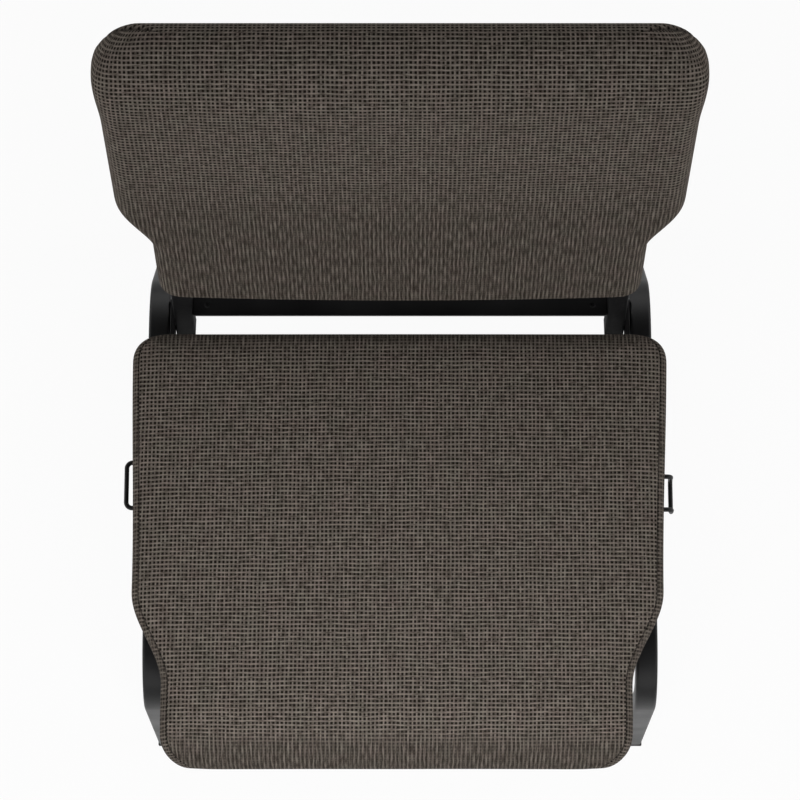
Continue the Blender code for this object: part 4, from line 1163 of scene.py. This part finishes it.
def softened(node, radius):
    """A copy of a node's mesh with its sharp edges rounded."""
    shape = bmesh.new()
    shape.from_mesh(frame["nodes"][node].data)
    bmesh.ops.remove_doubles(shape, verts=shape.verts, dist=MERGE_DISTANCE)
    bmesh.ops.dissolve_limit(shape, angle_limit=FLAT_ANGLE, verts=shape.verts, edges=shape.edges)
    bmesh.ops.bevel(
        shape,
        geom=[edge for edge in shape.edges if edge.calc_face_angle(0.0) > SHARP_ANGLE],
        offset=radius,
        segments=ROUND_SEGMENTS,
        profile=0.5,
        affect="EDGES",
        clamp_overlap=True,
    )

    def even_shading(piece):
        piece.modifiers.new("even_shading", "WEIGHTED_NORMAL")

    return settled(node, finished_mesh(node, shape), even_shading)


def make_fittings(powder_coat, plastic):
    """Glides, bumpers and plugs of moulded plastic, and the frame's plates, with rounded edges."""
    corners = [f"{end}_{side}" for end in ("front", "rear") for side in SIDES]
    moulded = [f"{kind}_{corner}" for kind in ("glide", "stacking_bumper") for corner in corners]
    moulded += [f"upright_plug_{side}" for side in SIDES]
    for node in moulded:
        add_piece(node + "_moulded", softened(node, MOULDED_ROUND), plastic, "black_plastic", node)
    for node in ["back_lower_bar", *(f"upright_spacer_{side}" for side in SIDES)]:
        add_piece(node + "_plate", softened(node, STEEL_ROUND), powder_coat, "powder_coat", node)


def dress_nodes(materials):
    """Finishes for the nodes that stay as they are, by their slot in the record."""
    for subpart in frame["record"]["subparts"]:
        node = frame["nodes"][subpart["node"]]
        if not node.hide_render:
            node.data.materials.clear()
            node.data.materials.append(materials[subpart["material_slot"]])


# Materials


def weave_cells(tree, chart):
    """Places on the threads, a chance for each dot, and distances from its middle across and along."""
    # Rows wander by about a millimetre over a few centimetres
    drift = {"Vector": chart, "Scale": 1 / WANDER_LENGTH, "Detail": 1.5}
    wander = add_node(tree, "ShaderNodeTexNoise", drift).outputs["Color"]
    drifted = {0: wander, 1: (*WANDER, 0.0), 2: chart}
    place = add_node(tree, "ShaderNodeVectorMath", drifted, operation="MULTIPLY_ADD").outputs[0]
    spacing = {0: place, 1: (WEAVE_ACROSS, WEAVE_ALONG, 1.0)}
    cell = add_node(tree, "ShaderNodeVectorMath", spacing, operation="DIVIDE").outputs[0]
    number = add_node(tree, "ShaderNodeVectorMath", {0: cell}, operation="FLOOR").outputs[0]
    lot = add_node(tree, "ShaderNodeTexWhiteNoise", {"Vector": number}, noise_dimensions="2D")
    share = add_node(tree, "ShaderNodeVectorMath", {0: cell}, operation="FRACTION").outputs[0]
    middle = {0: share, 1: (0.5, 0.5, 0.0)}
    offset = add_node(tree, "ShaderNodeVectorMath", middle, operation="SUBTRACT").outputs[0]
    away = add_node(tree, "ShaderNodeVectorMath", {0: offset}, operation="ABSOLUTE").outputs[0]
    parts = add_node(tree, "ShaderNodeSeparateXYZ", {0: away})
    return place, lot.outputs["Value"], parts.outputs[0], parts.outputs[1]


def weave_gaps(tree, chance, across, along, pull):
    """1 in the dots between the threads; in pulled cloth, dark lines run between its ribs instead."""
    # Dots are squares with round corners, each a little larger or smaller than the next
    powers = {}
    for k, away in enumerate((across, along)):
        squared = {0: away, 1: DOT_SQUARENESS}
        powers[k] = add_node(tree, "ShaderNodeMath", squared, operation="POWER").outputs[0]
    total = add_node(tree, "ShaderNodeMath", powers, operation="ADD").outputs[0]
    rooted = {0: total, 1: 1 / DOT_SQUARENESS}
    reach = add_node(tree, "ShaderNodeMath", rooted, operation="POWER").outputs[0]
    uneven = {0: chance, 1: DOT_UNEVENNESS, 2: reach}
    uneven_reach = add_node(tree, "ShaderNodeMath", uneven, operation="MULTIPLY_ADD").outputs[0]
    round_dot = {"From Min": DOT_CORE, "From Max": DOT_RIM, "To Min": 1.0, "To Max": 0.0}
    dot = add_node(
        tree, "ShaderNodeMapRange", {"Value": uneven_reach, **round_dot}, interpolation_type="SMOOTHSTEP"
    ).outputs[0]
    line = {"From Min": FURROW_CORE, "From Max": FURROW_RIM, "To Min": FURROW_SHARE, "To Max": 0.0}
    furrow = add_node(
        tree, "ShaderNodeMapRange", {"Value": across, **line}, interpolation_type="SMOOTHSTEP"
    ).outputs[0]
    dotted = {0: dot, 1: PULLED_DOT_SHARE, 2: furrow}
    furrowed = add_node(tree, "ShaderNodeMath", dotted, operation="MULTIPLY_ADD").outputs[0]
    return add_node(tree, "ShaderNodeMix", {0: pull, 2: dot, 3: furrowed}).outputs[0]


def thread_flecks(tree, place, across, along, pull):
    """How light the threads are, each with its own flecks, and lightest where they cross."""
    edges = {"From Min": THREAD_EDGE, "From Max": THREAD_FACE}
    bars, lengthways = [
        add_node(
            tree, "ShaderNodeMapRange", {"Value": away, **edges}, interpolation_type="SMOOTHSTEP"
        ).outputs[0]
        for away in (along, across)
    ]
    # Crossways threads lie over lengthways ones, and sink where the cloth is pulled
    unpulled = add_node(tree, "ShaderNodeMath", {0: 1.0, 1: pull}, operation="SUBTRACT").outputs[0]
    raised = {0: bars, 1: unpulled}
    crossways = add_node(tree, "ShaderNodeMath", raised, operation="MULTIPLY").outputs[0]
    # A thread's fibres are too fine to show, so its flecks are drawn nearly as wide as the thread
    flecks = []
    for fleck_across, fleck_along in (CROSSWAYS_FLECK, LENGTHWAYS_FLECK):
        stretch = {0: place, 1: (1 / fleck_across, 1 / fleck_along, 0.0)}
        run = add_node(tree, "ShaderNodeVectorMath", stretch, operation="MULTIPLY").outputs[0]
        grain = {"Vector": run, "Scale": 1.0, "Detail": 3.0}
        flecks.append(add_node(tree, "ShaderNodeTexNoise", grain).outputs["Fac"])
    light = add_node(tree, "ShaderNodeMix", {0: crossways, 2: flecks[1], 3: flecks[0]}).outputs[0]
    for threads, gain in ((crossways, CROSSWAYS_GAIN), (lengthways, LENGTHWAYS_GAIN)):
        gained = {0: threads, 1: gain, 2: light}
        light = add_node(tree, "ShaderNodeMath", gained, operation="MULTIPLY_ADD").outputs[0]
    return light


def make_upholstery_fabric():
    """Woven polyester: taupe threads round near-black dots, dull, with flecks, soft tint changes and
    painted shade in its seams.
    """
    material, tree, shader = new_material("woven_polyester_upholstery")
    chart = add_node(tree, "ShaderNodeUVMap", uv_map="weave").outputs["UV"]
    pull = add_node(tree, "ShaderNodeAttribute", attribute_name="pull").outputs["Fac"]
    place, chance, across, along = weave_cells(tree, chart)
    gap = weave_gaps(tree, chance, across, along, pull)
    fleck = thread_flecks(tree, place, across, along, pull)
    thread = add_node(tree, "ShaderNodeValToRGB", {"Fac": fleck}, THREAD_TONES).outputs["Color"]
    woven = {0: gap, 6: thread, 7: linear(DOT_COLOUR)}
    weave = add_node(tree, "ShaderNodeMix", woven, data_type="RGBA").outputs[2]
    # Dye lots leave patches that are a little redder or greener
    spread = {"Vector": chart, "Scale": 1 / PATCH_SIZE, "Detail": 2.0}
    patches = add_node(tree, "ShaderNodeTexNoise", spread).outputs["Fac"]
    tint = add_node(tree, "ShaderNodeValToRGB", {"Fac": patches}, PATCH_TINTS).outputs["Color"]
    dyed = {0: 1.0, 6: weave, 7: tint}
    colour = add_node(tree, "ShaderNodeMix", dyed, data_type="RGBA", blend_type="MULTIPLY").outputs[2]
    height = add_node(tree, "ShaderNodeMath", {0: fleck, 1: gap}, operation="SUBTRACT").outputs[0]
    relief = {"Strength": 0.6, "Distance": THREAD_RELIEF, "Height": height}
    bump = add_node(tree, "ShaderNodeBump", relief).outputs[0]
    # Seams fold the cloth in; painted shade darkens its colour there
    seam_shade = add_node(tree, "ShaderNodeAttribute", attribute_name="seam_shade").outputs["Fac"]
    light = add_node(
        tree,
        "ShaderNodeMapRange",
        {"Value": seam_shade, "From Min": SEAM_SHADE_START, "From Max": 1.0, "To Min": 1.0, "To Max": SEAM_SHADE_LIGHT},
        interpolation_type="SMOOTHSTEP",
    ).outputs[0]
    seam_shaded = {0: colour, "Scale": light}
    shaded = add_node(tree, "ShaderNodeVectorMath", seam_shaded, operation="SCALE").outputs[0]
    tree.links.new(shaded, shader.inputs["Base Color"])
    tree.links.new(bump, shader.inputs["Normal"])
    shader.inputs["Roughness"].default_value = 0.9
    shader.inputs["Specular IOR Level"].default_value = 0.12
    shader.inputs["Sheen Weight"].default_value = 0.04
    shader.inputs["Sheen Roughness"].default_value = 0.6
    shader.inputs["Sheen Tint"].default_value = linear("#B8ADA3")
    return material


def make_grained(name, tones, grain, rough, relief, sockets=None):
    """A plain finish: two tones over a grain of this size, with a fine bump and uneven gloss."""
    material, tree, shader = new_material(name)
    place = add_node(tree, "ShaderNodeTexCoord").outputs["Object"]
    fine, cloud = [
        add_node(
            tree, "ShaderNodeTexNoise", {"Vector": place, "Scale": 1 / size, "Detail": 2.0}
        ).outputs["Fac"]
        for size in (grain, CLOUD_SIZE)
    ]
    blend = add_node(tree, "ShaderNodeMix", {0: 0.5, 2: fine, 3: cloud}).outputs[0]
    stops = list(zip(GRAIN_STOPS, tones))
    tone = add_node(tree, "ShaderNodeValToRGB", {"Fac": blend}, stops).outputs["Color"]
    sheen = {"From Min": 0.3, "From Max": 0.7, "To Min": rough[0], "To Max": rough[1]}
    gloss = add_node(tree, "ShaderNodeMapRange", {"Value": cloud, **sheen}).outputs[0]
    raised = {"Strength": relief, "Distance": GRAIN_RELIEF, "Height": fine}
    bump = add_node(tree, "ShaderNodeBump", raised).outputs[0]
    tree.links.new(tone, shader.inputs["Base Color"])
    tree.links.new(gloss, shader.inputs["Roughness"])
    tree.links.new(bump, shader.inputs["Normal"])
    for socket, value in (sockets or {}).items():
        shader.inputs[socket].default_value = value
    return material


def make_powder_coat():
    """Semi-gloss black powder coat: baked paint with a fine orange-peel skin that blurs reflections."""
    return make_grained(
        "black_powder_coat",
        ("#111112", "#1A1A1B"),
        grain=0.0014,
        rough=(0.32, 0.42),
        relief=0.25,
        sockets={"Specular IOR Level": 0.42},
    )


def make_shaded_powder_coat():
    """A darker, duller, mottled copy of the black powder coat for the back's uprights: painted shade
    from the back above them, so they hardly reflect.
    """
    return make_grained(
        "shaded_black_powder_coat",
        ("#0A0A0B", "#19191A"),
        grain=0.0030,
        rough=(0.5, 0.7),
        relief=0.5,
        sockets={"Specular IOR Level": 0.16},
    )


def make_polypropylene():
    """Moulded black polypropylene: a dull skin with a fine moulded grain."""
    # A mould's grain of about 0.3 mm is too fine to show, so it is drawn three times as coarse
    return make_grained(
        "moulded_polypropylene",
        ("#101011", "#1E1E1F"),
        grain=0.0009,
        rough=(0.48, 0.58),
        relief=0.35,
        sockets={"IOR": 1.49},
    )


def make_zinc_steel():
    """Bright zinc plate on steel: metal with a soft, slightly mottled shine."""
    return make_grained(
        "zinc_plated_steel",
        ("#A3A29C", "#C6C5BE"),
        grain=0.0030,
        rough=(0.28, 0.42),
        relief=0.10,
        sockets={"Metallic": 1.0},
    )


def make_dust_cloth_finish():
    """Spunbond polypropylene: a thin black non-woven of short, pressed fibres."""
    # Single fibres are too fine to show, so clumps of them are drawn
    return make_grained(
        "spunbond_polypropylene",
        ("#0E0E0F", "#262628"),
        grain=0.0008,
        rough=(0.85, 0.95),
        relief=0.8,
        sockets={"Sheen Weight": 0.10},
    )


def make_sewing_thread():
    """Bonded polyester sewing thread: dark, dull, with a fine twist."""
    tones = ("#1A1613", "#332C27")
    return make_grained("polyester_thread", tones, grain=0.0005, rough=(0.65, 0.80), relief=0.5)


def make_hardboard():
    """Hardboard: pressed brown wood fibre with a matted face."""
    tones = ("#523722", "#755233")
    return make_grained("hardboard", tones, grain=0.0012, rough=(0.70, 0.85), relief=0.5)


def make_foam():
    """Open-cell polyurethane foam: pale and fully matt, with fine cells."""
    tones = ("#CDBE8E", "#E2D6AC")
    return make_grained("polyurethane_foam", tones, grain=0.0010, rough=(0.92, 0.98), relief=0.8)


def make_plywood():
    """Birch plywood: pale veneers in plies of under 2 mm, with grain along the sheet."""
    material, tree, shader = new_material("birch_plywood")
    place = add_node(tree, "ShaderNodeTexCoord").outputs["Object"]
    # One wave is a pair of plies; at a scale of 1 it would be tau / 20 metres long
    layers = {"Vector": place, "Scale": math.tau / 20 / PLY_PAIR, "Distortion": 0.5}
    plies = add_node(tree, "ShaderNodeTexWave", layers, bands_direction="Z").outputs["Fac"]
    stretch = {0: place, 1: (1 / WOOD_GRAIN_LENGTH, 1 / WOOD_GRAIN_WIDTH, 1 / WOOD_GRAIN_WIDTH)}
    stretched = add_node(tree, "ShaderNodeVectorMath", stretch, operation="MULTIPLY").outputs[0]
    fibres = {"Vector": stretched, "Scale": 1.0, "Detail": 4.0}
    grain = add_node(tree, "ShaderNodeTexNoise", fibres).outputs["Fac"]
    blend = add_node(tree, "ShaderNodeMix", {0: 0.35, 2: grain, 3: plies}).outputs[0]
    tone = add_node(tree, "ShaderNodeValToRGB", {"Fac": blend}, VENEER_TONES).outputs["Color"]
    raised = {"Strength": 0.3, "Distance": GRAIN_RELIEF, "Height": grain}
    bump = add_node(tree, "ShaderNodeBump", raised).outputs[0]
    tree.links.new(tone, shader.inputs["Base Color"])
    tree.links.new(bump, shader.inputs["Normal"])
    shader.inputs["Roughness"].default_value = 0.7
    return material


# Studio


def make_camera():
    """The photograph's view: almost straight down, from the front."""
    camera = bpy.data.objects.new("camera", bpy.data.cameras.new("camera"))
    bpy.context.scene.collection.objects.link(camera)
    camera.location = CAMERA_PLACE
    camera.rotation_euler = (CAMERA_TILT, 0, 0)
    camera.data.lens = CAMERA_LENS
    camera.data.sensor_width = CAMERA_SENSOR
    bpy.context.scene.camera = camera


def seen_rays(tree):
    """1 for rays that show the background itself: from the camera, a reflection or clear material."""
    path = add_node(tree, "ShaderNodeLightPath").outputs
    rays = {0: path["Is Camera Ray"], 1: path["Is Glossy Ray"]}
    first = add_node(tree, "ShaderNodeMath", rays, operation="MAXIMUM").outputs[0]
    rays = {0: first, 1: path["Is Transmission Ray"]}
    return add_node(tree, "ShaderNodeMath", rays, operation="MAXIMUM").outputs[0]


def make_world():
    """A white surround, dark overhead, that lights the chair evenly."""
    world = bpy.data.worlds.new("studio")
    bpy.context.scene.world = world
    world.use_nodes = True
    tree = world.node_tree
    tree.nodes.clear()
    way = add_node(tree, "ShaderNodeTexCoord").outputs["Generated"]
    rise = add_node(tree, "ShaderNodeSeparateXYZ", {0: way}).outputs["Z"]
    fade = {"From Min": WALL_RISE, "From Max": ZENITH_RISE, "To Min": 1.0, "To Max": ZENITH_GLOW}
    glow = add_node(
        tree, "ShaderNodeMapRange", {"Value": rise, **fade}, interpolation_type="SMOOTHSTEP"
    ).outputs[0]
    shown = add_node(tree, "ShaderNodeBackground", {"Color": WHITE, "Strength": glow}).outputs[0]
    fill = add_node(tree, "ShaderNodeBackground", {"Color": WHITE, "Strength": WORLD_FILL}).outputs[0]
    both = add_node(tree, "ShaderNodeMixShader", {0: seen_rays(tree), 1: fill, 2: shown}).outputs[0]
    add_node(tree, "ShaderNodeOutputWorld", {"Surface": both})


def make_floor():
    """A pale floor that shows white, keeps a faint shadow and throws little light back up."""
    reach = FLOOR_REACH
    corners = [(-reach, -reach, 0), (reach, -reach, 0), (reach, reach, 0), (-reach, reach, 0)]
    mesh = bpy.data.meshes.new("floor")
    mesh.from_pydata(corners, [], [(0, 1, 2, 3)])
    floor = bpy.data.objects.new("floor", mesh)
    bpy.context.scene.collection.objects.link(floor)
    material = bpy.data.materials.new("white_studio_floor")
    material.use_nodes = True
    tree = material.node_tree
    tree.nodes.clear()
    lit = add_node(tree, "ShaderNodeBsdfDiffuse", {"Color": linear(FLOOR_LIT)}).outputs[0]
    pale = add_node(tree, "ShaderNodeBsdfDiffuse", {"Color": linear(FLOOR_PALE)}).outputs[0]
    white = add_node(tree, "ShaderNodeEmission", {"Color": WHITE}).outputs[0]
    # Reflections show more of the shadow under the chair than the camera does
    camera_ray = add_node(tree, "ShaderNodeLightPath").outputs["Is Camera Ray"]
    glows = {"Value": camera_ray, "To Min": FLOOR_MIRRORED, "To Max": FLOOR_GLOW}
    glow = add_node(tree, "ShaderNodeMapRange", glows).outputs[0]
    shown = add_node(tree, "ShaderNodeMixShader", {0: glow, 1: pale, 2: white}).outputs[0]
    both = add_node(tree, "ShaderNodeMixShader", {0: seen_rays(tree), 1: lit, 2: shown}).outputs[0]
    add_node(tree, "ShaderNodeOutputMaterial", {"Surface": both})
    mesh.materials.append(material)


def make_lamp(name, place, size, power):
    """A soft square lamp turned to the seat; reflections show the surround alone."""
    data = bpy.data.lights.new(name, "AREA")
    data.shape = "SQUARE"
    data.size = size
    data.energy = power
    lamp = bpy.data.objects.new(name, data)
    bpy.context.scene.collection.objects.link(lamp)
    lamp.location = place
    lamp.rotation_euler = (Vector(LAMP_AIM) - Vector(place)).to_track_quat("-Z", "Y").to_euler()
    lamp.visible_camera = False
    lamp.visible_glossy = False


def make_studio():
    """Camera, surround, floor and lamps."""
    make_camera()
    make_world()
    make_floor()
    for name, (place, size, power) in LAMPS.items():
        make_lamp(name, place, size, power)
    bpy.context.scene.view_settings.view_transform = "Standard"


def make_chair():
    """Every piece of the chair, over the frame's nodes."""
    finishes = {
        "powder_coat": make_powder_coat(),
        "black_plastic": make_polypropylene(),
        "woven_fabric": make_upholstery_fabric(),
        "foam": make_foam(),
        "plywood": make_plywood(),
        "fibreboard": make_hardboard(),
        "dust_cloth": make_dust_cloth_finish(),
        "zinc_steel": make_zinc_steel(),
    }
    rows = make_row_tree()
    # The back's uprights get a darker copy of the powder coat as painted shade
    make_tubes(finishes["powder_coat"], make_shaded_powder_coat())
    make_ganging_wires(finishes["powder_coat"])
    make_welds(rows, finishes["powder_coat"])
    make_fittings(finishes["powder_coat"], finishes["black_plastic"])
    make_bar_plugs(finishes["black_plastic"])
    make_seat_screws(finishes["zinc_steel"])
    make_dust_cloth(finishes["dust_cloth"])
    make_cloth_staples(rows, finishes["zinc_steel"])
    seams = make_seat_cushion(finishes["woven_fabric"]) + make_back_cushion(finishes["woven_fabric"])
    make_stitches(rows, seams, make_sewing_thread())
    dress_nodes(finishes)


make_studio()
make_chair()
